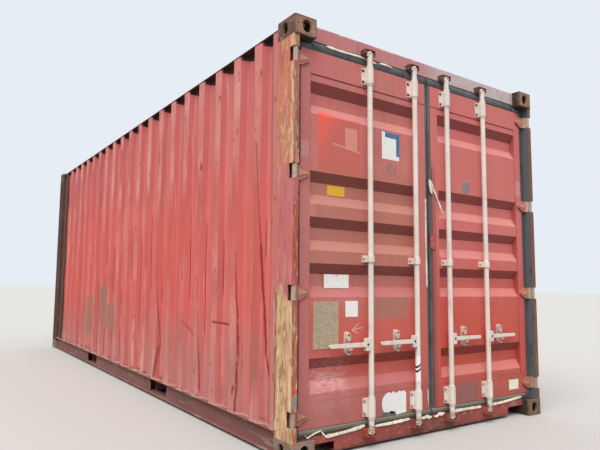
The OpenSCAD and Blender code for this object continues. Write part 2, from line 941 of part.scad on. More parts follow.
// Bar with a cam at each end and a hub for the handle
module locking_bar(side, y) {
    hub_x = handle_t / 2 + 7;
    tube_z0 = cam_z0 + cam_h / 2 + cam_neck;
    tube_z1 = cam_z1 - cam_h / 2 - cam_neck;
    color(cream)
        on_side(side)
            translate([bar_x, y, 0]) {
                translate([0, 0, tube_z0])
                    cylinder(r = bar_r, h = tube_z1 - tube_z0, $fn = 64);
                translate([0, 0, tube_z1])
                    cam();
                translate([0, 0, tube_z0])
                    mirror([0, 0, 1])
                        cam();
                collars(bracket_z0);
                collars(bracket_z1);
                translate([0, 0, lever_z]) {
                    difference() {
                        block([-hub_x, 0, -hub_h / 2], [hub_x, pivot_from_bar + 14, hub_h / 2]);
                        block([-handle_t / 2 - 0.3, bar_r + 1, -hub_h / 2 - eps],
                              [handle_t / 2 + 0.3, pivot_from_bar + 15, hub_h / 2 + eps]);
                    }
                    translate([-hub_x, pivot_from_bar, 0])
                        rotate([0, 90, 0])
                            cylinder(r = rivet_r, h = 2 * hub_x, $fn = 48);
                }
            }
}

// Flat lever that turns on the rivet in the fork of its bar
module handle(side, y) {
    color(cream)
        on_side(side)
            translate([handle_x, y + pivot_from_bar, lever_z])
                difference() {
                    union() {
                        rotate([0, 90, 0])
                            cylinder(r = handle_eye, h = handle_t, $fn = 48);
                        rotate([90, 0, 90])
                            linear_extrude(handle_t)
                                polygon([[0, -handle_eye], [handle_l, -handle_tip],
                                         [handle_l, handle_tip], [0, handle_eye]]);
                        translate([0, handle_l, 0])
                            rotate([0, 90, 0])
                                cylinder(r = handle_tip, h = handle_t, $fn = 48);
                    }
                    translate([-eps, 0, 0])
                        rotate([0, 90, 0])
                            cylinder(r = rivet_r + running, h = handle_t + 2 * eps, $fn = 48);
                }
}

bottom_corner_castings();
top_corner_castings();
door_post(-1);  // left_door_post
door_post(1);  // right_door_post
front_post(-1);  // left_front_post
front_post(1);  // right_front_post
door_header();
door_sill();
front_header();
front_sill();
top_rail(-1);  // left_top_rail
top_rail(1);  // right_top_rail
bottom_rail(-1);  // left_bottom_rail
bottom_rail(1);  // right_bottom_rail
side_wall(-1);  // left_side_wall
side_wall(1);  // right_side_wall
front_wall();
roof();
plywood_floor();
cross_members();
fork_pockets();
hinge_pins();
header_keepers();
sill_keepers();
door_frame(-1);  // left_door_frame
door_panel(-1);  // left_door_panel
door_gasket(-1);  // left_door_gasket
hinge_blades(-1);  // left_hinge_blades
bar_brackets(-1);  // left_bar_brackets
handle_retainers(-1);  // left_handle_retainers
door_frame(1);  // right_door_frame
door_panel(1);  // right_door_panel
door_gasket(1);  // right_door_gasket
hinge_blades(1);  // right_hinge_blades
bar_brackets(1);  // right_bar_brackets
handle_retainers(1);  // right_handle_retainers
overlap_plate();
locking_bar(-1, bar_outer);  // left_outer_bar
locking_bar(-1, bar_inner);  // left_inner_bar
locking_bar(1, bar_inner);  // right_inner_bar
locking_bar(1, bar_outer);  // right_outer_bar
handle(-1, bar_outer);  // left_outer_handle
handle(-1, bar_inner);  // left_inner_handle
handle(1, bar_inner);  // right_inner_handle
handle(1, bar_outer);  // right_outer_handle
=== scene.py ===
import math

import bmesh
import bpy
from mathutils import Matrix, Vector, noise


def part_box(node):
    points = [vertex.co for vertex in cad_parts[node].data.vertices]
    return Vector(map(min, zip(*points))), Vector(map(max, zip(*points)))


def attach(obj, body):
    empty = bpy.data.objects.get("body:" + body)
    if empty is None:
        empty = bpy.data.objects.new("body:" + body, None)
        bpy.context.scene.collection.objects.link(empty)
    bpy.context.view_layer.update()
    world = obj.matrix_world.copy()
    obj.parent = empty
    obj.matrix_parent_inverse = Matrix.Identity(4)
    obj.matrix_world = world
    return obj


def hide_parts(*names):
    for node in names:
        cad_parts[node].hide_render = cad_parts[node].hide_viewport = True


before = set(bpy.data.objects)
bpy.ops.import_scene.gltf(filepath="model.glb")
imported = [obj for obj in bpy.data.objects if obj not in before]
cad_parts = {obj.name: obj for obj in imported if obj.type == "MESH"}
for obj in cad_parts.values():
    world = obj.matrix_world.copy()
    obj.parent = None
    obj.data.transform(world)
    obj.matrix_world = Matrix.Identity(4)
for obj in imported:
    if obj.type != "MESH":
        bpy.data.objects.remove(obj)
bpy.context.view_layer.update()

# Places that the frame gives, in metres
SIDES = {"left": -1, "right": 1}
DOOR_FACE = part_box("left_door_frame")[1][0]
PANEL_LOW, PANEL_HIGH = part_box("left_door_panel")
PANEL_FACE = PANEL_HIGH[0]
PANEL_IN, PANEL_OUT = -PANEL_HIGH[1], -PANEL_LOW[1]
GASKET_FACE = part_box("left_door_gasket")[1][0]
WALL_LOW, WALL_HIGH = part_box("right_side_wall")
WALL_OUT, RAIL_TOP = WALL_HIGH[1], WALL_LOW[2]

# Places repeated from the source of the solids, in metres
DOOR_OUT = 1.136
BAR_X, BAR_RADIUS = 3.005, 0.017
BAR_ROWS = {"outer": 0.594, "inner": 0.170}
BRACKET_FACE, BRACKET_LOW, BRACKET_HIGH, GUIDE_Z = 2.976, 0.2405, 2.3515, 1.157
HINGE_ROWS = (0.240, 0.944, 1.648, 2.352)
GROOVE_DEPTH = 0.036
LEVER_Z, LEVER_FROM_BAR, HUB_FACE = 0.627, 0.036, 3.017
RETAINER_FROM_BAR, RETAINER_UP, RETAINER_DOWN, RETAINER_FACE = 0.174, 0.061, 0.043, 2.995
RIDGE_FIRST, RIDGE_PITCH = 2.616, 0.27537
RIDGE_FLAT, RIDGE_SLOPE, RIDGE_DEPTH = 0.072, 0.068, 0.036

# Dark lines on the castings, just inside their edges, in metres
CASTING_IN, CASTING_OUT = 1.058, 1.2175
CASTING_LOW, CASTING_TOP, FOOT_TOP = 2.474, 2.590, 0.117

# Places read from the photo, in metres
TAPE_LOW, TAPE_HIGH = 0.365, 0.528
TAPE_BANDS = (0.626, 0.598)
CHALK_TIP = (-0.718, 0.713)
CHALK_TAILS = ((-0.664, 0.754), (-0.627, 0.730), (-0.669, 0.694))


# Colour and shader helpers

def rgb(red, green, blue):
    """A colour written as 0 to 255 screen values, for a shader socket."""
    def linear(v):
        v = v / 255
        return v / 12.92 if v <= 0.04045 else ((v + 0.055) / 1.055) ** 2.4
    return (linear(red), linear(green), linear(blue), 1.0)


class Layers:
    """One procedural paint: masks over the object's own metres, laid over a base colour."""

    def __init__(self, name, base):
        self.material = bpy.data.materials.new(name)
        self.material.use_nodes = True
        self.nodes = self.material.node_tree.nodes
        self.links = self.material.node_tree.links
        self.shader = self.nodes["Principled BSDF"]
        coordinates = self.nodes.new("ShaderNodeTexCoord")
        self.place = coordinates.outputs["Object"]
        self.x, self.y, self.z = self.split(self.place)
        self.facing = dict(zip("xyz", self.split(coordinates.outputs["Normal"])))
        self.colour = rgb(*base)
        self.height = None
        self.made = {}

    def split(self, vector):
        """The three parts of a vector."""
        node = self.nodes.new("ShaderNodeSeparateXYZ")
        self.links.new(vector, node.inputs[0])
        return node.outputs

    def plug(self, value, socket):
        """Links a socket, or sets a plain value."""
        if isinstance(value, bpy.types.NodeSocket):
            self.links.new(value, socket)
        else:
            socket.default_value = value

    def sum(self, kind, a, b=0.0, c=0.0):
        """One step of arithmetic."""
        node = self.nodes.new("ShaderNodeMath")
        node.operation = kind
        for value, socket in zip((a, b, c), node.inputs):
            self.plug(value, socket)
        return node.outputs[0]

    def fold(self, kind, masks):
        """Joins masks one after the other with the same step."""
        out = masks[0]
        for mask in masks[1:]:
            out = self.sum(kind, out, mask)
        return out

    def both(self, *masks):
        """Where all the masks are."""
        return self.fold("MULTIPLY", masks)

    def either(self, *masks):
        """Where any of the masks is."""
        return self.fold("MAXIMUM", masks)

    def size(self, value):
        """The value without its sign."""
        return self.sum("ABSOLUTE", value)

    def noise(self, size, detail=6, seed=0, roughness=0.55, stretch=(1, 1, 1), tall=1):
        """Noise with features of about size metres, tall times as high as wide, or longer by stretch."""
        stretch = (1, 1, tall) if tall != 1 else stretch
        key = (size, detail, stretch, seed, roughness)
        if key not in self.made:
            mapping = self.nodes.new("ShaderNodeMapping")
            mapping.inputs["Location"].default_value = (seed, seed * 1.7, seed * 0.6)
            mapping.inputs["Scale"].default_value = [1 / (size * s) for s in stretch]
            self.links.new(self.place, mapping.inputs["Vector"])
            node = self.nodes.new("ShaderNodeTexNoise")
            node.inputs["Scale"].default_value = 1.0
            node.inputs["Detail"].default_value = detail
            node.inputs["Roughness"].default_value = roughness
            self.links.new(mapping.outputs[0], node.inputs["Vector"])
            self.made[key] = node.outputs["Fac"]
        return self.made[key]

    def spread(self, low, high, size, **kind):
        """A mask from noise, rising from 0 at low to 1 at high."""
        return self.ramp(self.noise(size, **kind), low, high)

    def ramp(self, value, low, high, start=0.0, end=1.0):
        """Goes smoothly from start to end while value goes from low to high."""
        if low > high:
            low, high, start, end = high, low, end, start
        node = self.nodes.new("ShaderNodeMapRange")
        node.interpolation_type = "SMOOTHSTEP"
        self.plug(value, node.inputs["Value"])
        for socket, number in zip(("From Min", "From Max", "To Min", "To Max"), (low, high, start, end)):
            node.inputs[socket].default_value = number
        return node.outputs["Result"]

    def line(self, value, centre, reach):
        """1 at centre, falling smoothly to 0 at reach away from it."""
        return self.ramp(self.size(self.sum("SUBTRACT", value, centre)), 0.0, reach, 1.0, 0.0)

    def wander(self, value, amount, size=0.03, seed=3, tall=1):
        """value, shifted to and fro by noise, for an outline that isn't ruled."""
        shift = self.sum("SUBTRACT", self.noise(size, 4, seed, tall=tall), 0.5)
        return self.sum("MULTIPLY_ADD", shift, amount, value)

    def between(self, value, low, high, soft=0.004):
        """1 from low to high, with soft edges."""
        return self.both(self.ramp(value, low - soft, low + soft), self.ramp(value, high + soft, high - soft))

    def patch(self, y0, y1, z0, z1, ragged=0.02, soft=0.004):
        """A patch on a surface across Y and Z, with a slightly ragged outline."""
        y = self.wander(self.y, ragged, seed=3)
        z = self.wander(self.z, ragged, seed=4)
        return self.both(self.between(y, y0, y1, soft), self.between(z, z0, z1, soft))

    def stroke(self, start, end, width, level=None):
        """A line between two places (level, z), where level is y unless another value is given."""
        dy, dz = end[0] - start[0], end[1] - start[1]
        length = math.hypot(dy, dz)
        y = self.sum("SUBTRACT", self.y if level is None else level, start[0])
        z = self.sum("SUBTRACT", self.z, start[1])
        along = self.sum("MULTIPLY_ADD", y, dy / length, self.sum("MULTIPLY", z, dz / length))
        across = self.sum("MULTIPLY_ADD", y, -dz / length, self.sum("MULTIPLY", z, dy / length))
        return self.both(self.between(along, 0, length, 0.003), self.line(across, 0, width))

    def over(self, colour, strength, *masks):
        """Lays a colour over what is there, where all the masks say."""
        node = self.nodes.new("ShaderNodeMix")
        node.data_type = "RGBA"
        mask = self.both(*masks)
        if strength != 1.0:
            mask = self.sum("MULTIPLY", mask, strength)
        self.plug(mask, node.inputs[0])
        self.plug(self.colour, node.inputs[6])
        self.plug(rgb(*colour), node.inputs[7])
        self.colour = node.outputs[2]

    def wear(self, colour, strength, low, high, size, **kind):
        """Lays a colour over what is there, in patches of noise."""
        self.over(colour, strength, self.spread(low, high, size, **kind))

    def finish(self, rough=(0.6, 0.9), relief=0.5, depth=0.003, specular=0.5):
        """Sets the shader: roughness and a fine relief from noise, and the shine."""
        self.plug(self.colour, self.shader.inputs["Base Color"])
        self.shader.inputs["Specular IOR Level"].default_value = specular
        grain = self.noise(0.02, seed=9)
        self.plug(self.ramp(grain, 0.25, 0.75, *rough), self.shader.inputs["Roughness"])
        bump = self.nodes.new("ShaderNodeBump")
        bump.inputs["Strength"].default_value = relief
        bump.inputs["Distance"].default_value = depth
        self.plug(grain if self.height is None else self.height, bump.inputs["Height"])
        self.links.new(bump.outputs[0], self.shader.inputs["Normal"])
        return self.material


# Paints

RUST_DARK = (92, 50, 36)
RUST = (140, 82, 54)


def weathered(name, base, pale, dark, seed=0, streaks=0.5, rust=0.5, grime=0.5):
    """Uneven fading, run-down streaks, rust spots with drips and grime towards the ground."""
    m = Layers(name, base)
    m.wear(pale, 0.55, 0.42, 0.7, 0.8, seed=seed)
    m.wear(dark, 0.45, 0.5, 0.75, 0.5, seed=seed + 11)
    m.wear(dark, streaks * 0.6, 0.52, 0.68, 0.05, detail=5, tall=14, seed=seed + 2)
    m.wear(pale, streaks * 0.7, 0.56, 0.7, 0.03, detail=5, tall=20, seed=seed + 5)
    m.over(RUST_DARK, rust, m.spread(0.64, 0.7, 0.016, seed=seed + 7, roughness=0.7),
           m.spread(0.45, 0.6, 0.35, detail=4, seed=seed + 1))
    m.over(RUST, rust * 0.7, m.spread(0.6, 0.7, 0.018, detail=4, tall=18, seed=seed + 3),
           m.spread(0.5, 0.62, 0.5, detail=3, seed=seed + 4))
    m.over((132, 92, 80), grime * 0.5, m.ramp(m.z, 0.75, 0.12), m.spread(0.35, 0.65, 0.12, seed=seed + 6))
    return m


def wall_marks(m):
    """Long rust lines, scuffs and bare patches that the near side shows."""
    near = m.ramp(m.facing["y"], -0.3, -0.6)
    broken = m.both(near, m.spread(0.3, 0.45, 0.03, detail=5, tall=3, seed=25))
    blood, brown = (132, 34, 32), (112, 52, 40)

    def line(start, end, width, colour, strength, wobble=0.02):
        along = m.stroke(start, end, width, m.wander(m.x, wobble, 0.12, 24.0, 1.5))
        m.over(colour, strength, along, broken)
    line((2.604, 1.9), (2.662, 1.24), 0.01, blood, 0.7)
    line((2.662, 1.24), (2.706, 0.56), 0.013, blood, 0.95)
    line((2.706, 0.56), (2.792, 0.17), 0.013, blood, 0.95)
    line((2.362, 1.2), (2.4, 0.65), 0.01, blood, 0.9)
    line((2.4, 0.65), (2.389, 0.17), 0.015, blood, 0.95)
    line((1.798, 1.05), (1.854, 0.2), 0.009, blood, 0.8)
    line((0.981, 1.1), (1.05, 0.45), 0.01, brown, 0.7)
    line((1.04, 0.46), (0.985, 0.17), 0.04, (140, 62, 42), 0.85)
    line((2.054, 0.717), (2.247, 0.708), 0.014, brown, 0.9, 0.05)
    line((0.879, 2.24), (0.99, 2.11), 0.03, (196, 132, 110), 0.8)
    line((0.93, 2.2), (0.95, 2.05), 0.012, brown, 0.8)
    line((1.5, 2.37), (1.54, 2.12), 0.012, brown, 0.55)
    line((1.516, 0.7), (1.677, 0.585), 0.016, (176, 70, 64), 0.7)
    line((2.836, 0.9), (2.854, 0.62), 0.006, (236, 200, 190), 0.8, 0.08)
    worn = m.both(near, m.spread(0.34, 0.5, 0.06, detail=5, tall=5, seed=21))
    spots = ((-1.36, -0.97, 0.37, 0.81), (-0.8, -0.45, 0.53, 0.92), (-0.44, -0.24, 0.47, 0.76))
    for x0, x1, z0, z1 in spots:
        m.over((164, 122, 106), 0.85, m.between(m.wander(m.x, 0.06, 0.05, 2.0), x0, x1, 0.03),
               m.between(m.wander(m.z, 0.1, 0.08, 5.0), z0, z1, 0.04), worn)
    m.over((176, 112, 92), 0.7, near, m.between(m.x, 2.6, 2.655, 0.006),
           m.between(m.z, 0.4, 0.71, 0.02), m.spread(0.36, 0.5, 0.03, detail=5, tall=4, seed=22))


def brown_end(m, out):
    """The brown end of each side wall, next to the front post."""
    outwards = m.sum("MULTIPLY", m.facing["y"], m.sum("SIGN", m.y))
    end = m.both(m.ramp(out, 1.15, 1.154), m.ramp(outwards, 0.1, 0.3),
                 m.ramp(m.wander(m.x, 0.02, 0.1, 28.0, 3), -2.542, -2.552))
    m.over((98, 66, 56), 0.96, end)
    m.over((58, 38, 34), 0.9, end, m.either(m.line(m.x, -2.8, 0.06), m.line(m.x, -2.57, 0.035)))
    m.over((128, 96, 74), 0.6, end, m.spread(0.54, 0.64, 0.04, tall=8, seed=29))


def wall_paint():
    """Faded red with tints from one ridge to the next and rust in the folds, with painted highlights on the
    ridges and along their edges, painted shade on the slopes and a painted shadow under the top rail.
    """
    m = weathered("wall_paint", (224, 120, 114), (234, 152, 146), (192, 94, 90), seed=1, rust=0.35, grime=0.3)
    out = m.size(m.y)
    across = (1, 40, 40)
    m.wear((176, 90, 104), 0.55, 0.55, 0.66, 0.22, detail=2, stretch=across, seed=4)
    m.wear((226, 128, 116), 0.45, 0.55, 0.66, 0.2, detail=2, stretch=across, seed=14)
    m.over((210, 118, 122), 0.5, m.ramp(m.wander(m.z, 0.5, 0.4, 7.0), 1.6, 2.3))
    # Painted highlight: the outer faces of the ridges lighter.
    m.over((238, 158, 148), 0.42, m.ramp(out, 1.206, 1.215))
    # Painted shade on the slopes between ridge and valley, heavier lower down.
    m.over((182, 78, 76), 0.6, m.between(out, 1.184, 1.21, 0.003), m.ramp(m.z, 2.6, 0.9, 0.7, 1.0))
    # Painted highlight: a pale line along the ridge edges, in patches.
    m.over((242, 184, 170), 0.45, m.line(out, 1.2125, 0.006), m.spread(0.4, 0.6, 0.4, detail=5, seed=5))
    m.over((224, 106, 96), 0.6, m.between(m.wander(m.z, 0.6, 0.5, 3.0), 0.55, 1.75, 0.3),
           m.spread(0.3, 0.6, 0.4, detail=5, tall=3, seed=16))
    dusty = m.ramp(m.wander(m.z, 0.5, 0.3, 6.0), 0.95, 0.25)
    m.over((188, 128, 122), 0.75, dusty, m.spread(0.35, 0.6, 0.07, detail=5, tall=12, seed=8))
    m.wear((236, 176, 160), 0.55, 0.62, 0.7, 0.018, detail=5, tall=34, seed=19)
    crack = m.line(m.wander(out, 0.01, 0.5, 9.0), 1.183, 0.004)
    m.over((134, 40, 36), 0.85, crack, m.ramp(m.wander(m.z, 0.8, 0.2, 6.0), 1.9, 1.2),
           m.spread(0.5, 0.58, 0.35, tall=2.5, seed=12))
    edge = m.line(out, 1.213, 0.006)
    m.over((120, 58, 46), 0.8, edge, m.spread(0.61, 0.66, 0.06, detail=7, tall=2, seed=13))
    m.over((188, 120, 118), 0.4, m.ramp(m.x, 2.7, 2.78))
    wall_marks(m)
    brown_end(m, out)
    # Painted shadow of the top rail over the top of each valley, taller towards the door end of the valley.
    along = m.sum("FRACT", m.sum("MULTIPLY_ADD", m.x, -1 / RIDGE_PITCH, RIDGE_FIRST / RIDGE_PITCH))
    drop = m.ramp(along, 0.34, 0.86, 0.066, 0.028)
    rail_shadow = m.ramp(m.sum("ADD", m.z, drop), WALL_HIGH[2] - 0.004, WALL_HIGH[2] + 0.004)
    m.over((40, 20, 20), 0.97, rail_shadow, m.ramp(out, 1.212, 1.2))
    m.over((92, 50, 42), 0.8, m.ramp(m.z, 0.2, 0.165), m.spread(0.54, 0.6, 0.07, seed=27))
    m.over((206, 172, 158), 0.8, m.ramp(m.z, 0.17, 0.152), m.spread(0.35, 0.5, 0.05, detail=5, seed=3))
    m.height = m.noise(0.12, 3, seed=21)
    return m.finish(rough=(0.6, 0.85), relief=0.35, depth=0.008, specular=0.2)


def roof_paint():
    """The walls' red, chalkier and with more rust."""
    m = weathered("roof_paint", (186, 104, 96), (206, 150, 140), (140, 80, 72), seed=31,
                  streaks=0.2, rust=0.9, grime=0.0)
    m.wear((196, 150, 142), 0.5, 0.4, 0.7, 0.7, detail=7, seed=32)
    m.over((150, 96, 78), 0.5, m.spread(0.52, 0.66, 0.1, detail=7, seed=33),
           m.spread(0.45, 0.6, 0.8, detail=5, seed=34))
    return m.finish(relief=0.4, depth=0.004)


def door_marks(m, front):
    """Patched paint, scuffs and a chalk arrow on the outside of the doors."""
    def lay(colour, strength, *masks):
        m.over(colour, strength, *masks, front)
    slanted = m.sum("MULTIPLY_ADD", m.z, -0.6, m.wander(m.y, 0.06, 0.2, 6.0))
    lay((212, 104, 90), 0.75, m.patch(-0.994, -0.65, 1.682, 2.04, 0.012))
    lay((255, 104, 88), 1.0, m.patch(-0.996, -0.6, 1.7, 2.055), m.ramp(slanted, -1.98, -2.19))
    lay((234, 160, 148), 0.75, m.patch(-0.773, -0.671, 1.85, 1.985, 0.012))
    lay((244, 180, 168), 0.7, m.stroke((-0.88, 1.868), (-0.65, 1.838), 0.008))
    lay((210, 166, 170), 0.55, m.patch(-1.125, -1.066, 1.755, 1.85),
        m.spread(0.3, 0.6, 0.012, detail=5, seed=7))
    lay((216, 172, 178), 0.5, m.patch(1.056, 1.122, 1.73, 1.85))
    lay((180, 122, 108), 0.8, m.patch(-0.525, -0.215, 0.78, 0.912, 0.01))
    lay((150, 104, 98), 0.85, m.patch(0.276, 0.5, 0.15, 0.309, 0.01))
    wipes = m.spread(0.36, 0.6, 0.006, stretch=(1, 7, 1), seed=15)
    lay((226, 168, 164), 0.95, m.patch(-1.045, -0.76, 0.375, 0.47, 0.14, 0.04), wipes)
    lay((214, 152, 148), 0.5, m.patch(-1.045, -0.74, 0.245, 0.4, 0.14, 0.05), wipes)
    lay((210, 146, 142), 0.45, m.patch(-1.03, -0.74, 0.47, 0.56, 0.16, 0.05), wipes)
    smudge = m.patch(-0.44, -0.32, 1.72, 1.81, 0.04, 0.015)
    lay((150, 112, 112), 0.7, smudge, m.spread(0.48, 0.56, 0.016, detail=5, tall=3, seed=16))
    chalk = m.either(*[m.stroke(CHALK_TIP, tail, 0.006) for tail in CHALK_TAILS])
    lay((240, 202, 190), 0.9, chalk, m.spread(0.35, 0.5, 0.008, detail=5, seed=17))
    flecks = m.patch(0.5, 1.1, 0.2, 0.9, 0.2, 0.1)
    lay((230, 190, 180), 0.7, flecks, m.spread(0.68, 0.72, 0.02, detail=3, seed=18))
    rubbed = m.patch(0.46, 0.98, 0.72, 0.98, 0.2, 0.08)
    lay((232, 130, 108), 0.45, rubbed, m.spread(0.5, 0.62, 0.018, seed=20))
    chipped = m.patch(0.56, 1.1, 0.2, 0.4, 0.2, 0.06)
    lay((226, 118, 92), 0.7, chipped, m.spread(0.54, 0.6, 0.012, seed=21))
    scraped = m.patch(0.6, 1.12, 0.285, 0.335, 0.05, 0.01)
    lay((120, 60, 46), 0.8, scraped, m.spread(0.54, 0.6, 0.01, seed=22))


def door_paint():
    """Brownish rose on the left door, warmer red on the right, orange-red towards the handles."""
    m = weathered("door_paint", (210, 120, 114), (220, 146, 138), (174, 88, 82), seed=5,
                  streaks=0.3, rust=0.25)
    front = m.ramp(m.facing["x"], 0.02, 0.1)
    away = m.size(m.y)
    right = m.ramp(m.wander(m.y, 0.3, 0.5, 2.0), -0.25, 0.1)
    m.over((222, 118, 114), 0.75, right)
    m.over((206, 84, 72), 0.75, right, m.ramp(m.wander(m.z, 0.4, 0.4, 3.0), 1.5, 0.7))
    middle = m.both(m.between(m.wander(m.z, 0.3, 0.4, 5.0), 0.98, 1.7, 0.1),
                    m.between(m.wander(m.y, 0.2, 0.3, 6.0), -1.05, -0.12, 0.03))
    m.over((184, 118, 100), 0.62, middle)
    warm = m.between(m.wander(m.z, 0.2, 0.4, 8.0), 0.4, 0.86, 0.12)
    m.over((210, 88, 72), 0.7, warm, m.between(away, 0.1, 1.05, 0.02))
    m.over((200, 118, 118), 0.5, m.ramp(m.wander(m.y, 0.04, 0.3, 9.0), -1.045, -1.07))
    panel_high = m.between(m.z, PANEL_LOW[2], PANEL_HIGH[2])
    grooves = m.both(front, m.between(away, PANEL_IN, PANEL_OUT), panel_high)
    upward = m.both(grooves, m.ramp(m.facing["z"], 0.15, 0.4))
    # Painted shade with some grime on the groove slopes that face down.
    m.over((108, 24, 22), 0.66, grooves, m.ramp(m.facing["z"], -0.15, -0.4))
    # Painted highlight on the groove slopes that face up, tinted tan in the middle and mauve low on the left
    # door.
    m.over((228, 162, 156), 0.4, upward)
    m.over((190, 128, 110), 0.65, upward, middle)
    m.over((184, 98, 98), 0.55, upward, m.ramp(m.z, 1.1, 0.95), m.ramp(m.y, 0.05, -0.05))
    # Painted shade on the ends of the grooves.
    m.over((120, 44, 40), 0.45, grooves, m.ramp(m.size(m.facing["y"]), 0.15, 0.4))
    panel_wide = m.ramp(away, 1.06, 1.05)
    m.over((104, 36, 34), 0.9, m.line(m.z, PANEL_HIGH[2], 0.007), panel_wide)
    seams = m.either(m.both(m.line(m.z, PANEL_LOW[2], 0.005), panel_wide),
                     m.both(m.line(away, PANEL_OUT, 0.005), panel_high))
    m.over((140, 60, 54), 0.5, seams)
    # Painted shade along the doors' outer edges, where the gap to the posts lies in shadow.
    m.over((58, 38, 38), 0.85, m.line(away, DOOR_OUT, 0.014), m.spread(0.25, 0.45, 0.1, detail=5, tall=4))
    m.over((158, 84, 74), 0.4, m.ramp(m.wander(m.z, 0.15, 0.3, 12.0), 0.42, 0.24))
    # Grime and painted shade along the centre seam, where the gap at the gasket is in shadow.
    seam = m.both(front, m.ramp(m.wander(m.z, 0.1, 0.2, 13.0), 1.95, 1.75))
    m.over((150, 84, 76), 0.6, seam, m.between(m.wander(m.y, 0.02, 0.1, 14.0, 4), 0.0, 0.075, 0.01))
    m.over((66, 52, 50), 0.85, seam, m.between(m.wander(m.y, 0.006, 0.1, 14.0, 4), 0.0, 0.04, 0.004))
    door_marks(m, front)
    m.height = m.noise(0.15, 3, seed=23)
    return m.finish(rough=(0.5, 0.75), relief=0.3, depth=0.006)


def hinge_paint():
    """Blades in the doors' paint, rusty at their edges, with knuckles worn to bare grey."""
    m = weathered("hinge_paint", (196, 118, 106), (222, 160, 146), (150, 82, 70), seed=51,
                  streaks=0.3, rust=0.9, grime=0.6)
    away = m.size(m.y)
    # Painted highlight on the raised ribs of the blades.
    m.over((226, 168, 152), 0.6, m.ramp(m.x, 2.9825, 2.9845), m.ramp(away, 1.155, 1.148))
    knuckle = m.ramp(away, 1.16, 1.176)
    m.over((188, 180, 162), 0.9, knuckle, m.spread(0.26, 0.42, 0.03, seed=52))
    m.over((130, 96, 74), 0.6, knuckle, m.spread(0.54, 0.62, 0.02, seed=53))
    m.over((150, 104, 84), 0.45, m.ramp(m.wander(m.z, 0.3, 0.1, 4.0), 1.2, 0.5))
    # Painted shade on the faces that look down.
    m.over((66, 40, 34), 0.8, m.ramp(m.facing["z"], -0.3, -0.8))
    return m.finish(rough=(0.55, 0.85), depth=0.001)


def header_paint():
    """Rose at the left, chalky grey towards the right, with drips from the top."""
    m = weathered("header_paint", (204, 132, 132), (214, 164, 164), (172, 102, 100), seed=8, grime=0.7)
    high = m.both(m.ramp(m.z, 1.5, 2.0), m.ramp(m.facing["x"], 0.3, 0.6))
    chalky = m.both(m.ramp(m.wander(m.y, 0.9, 0.4, 2.0), -0.25, 0.45), high)
    m.over((206, 200, 204), 0.85, chalky)
    m.over((216, 160, 162), 0.6, chalky, m.spread(0.5, 0.62, 0.1, seed=4))
    m.over((226, 208, 206), 0.6, m.ramp(m.wander(m.z, 0.02, 0.05, 3.0), 2.574, 2.582),
           m.spread(0.4, 0.55, 0.1, detail=5, seed=5))
    low = m.ramp(m.z, 1.5, 1.0)
    m.over((168, 76, 66), 0.9, low, m.spread(0.2, 0.45, 0.4, detail=5, seed=6))
    m.over((92, 66, 58), 0.6, low, m.ramp(m.wander(m.size(m.y), 0.5, 0.2, 10.0), 0.6, 0.15),
           m.spread(0.3, 0.6, 0.05, seed=11))
    m.over((150, 92, 84), 0.5, low, m.spread(0.52, 0.64, 0.06, seed=9))
    m.over((206, 150, 110), 0.7, low, m.spread(0.6, 0.66, 0.02, stretch=(1, 2, 1), seed=7))
    m.over((92, 58, 52), 0.6, low, m.ramp(m.wander(m.z, 0.03, 0.05, 8.0), 0.045, 0.02))
    return m.finish()


def rail_paint():
    """Dusty mauve with rust and scrapes."""
    m = weathered("rail_paint", (134, 84, 80), (160, 114, 108), (98, 58, 54), seed=13, rust=0.8, grime=0.7)
    m.wear((176, 160, 148), 0.55, 0.6, 0.68, 0.03, stretch=(8, 1, 1), seed=14)
    return m.finish()


def dark_paint_and_rail_shade():
    """Brown-black: old paint on the far posts, and painted shade on the top rails, whose undersides show dark
    above the wall's valleys.
    """
    m = weathered("dark_paint_and_rail_shade", (78, 52, 48), (112, 80, 70), (54, 36, 34), seed=41, rust=0.9, grime=0.3)
    return m.finish(specular=0.15)


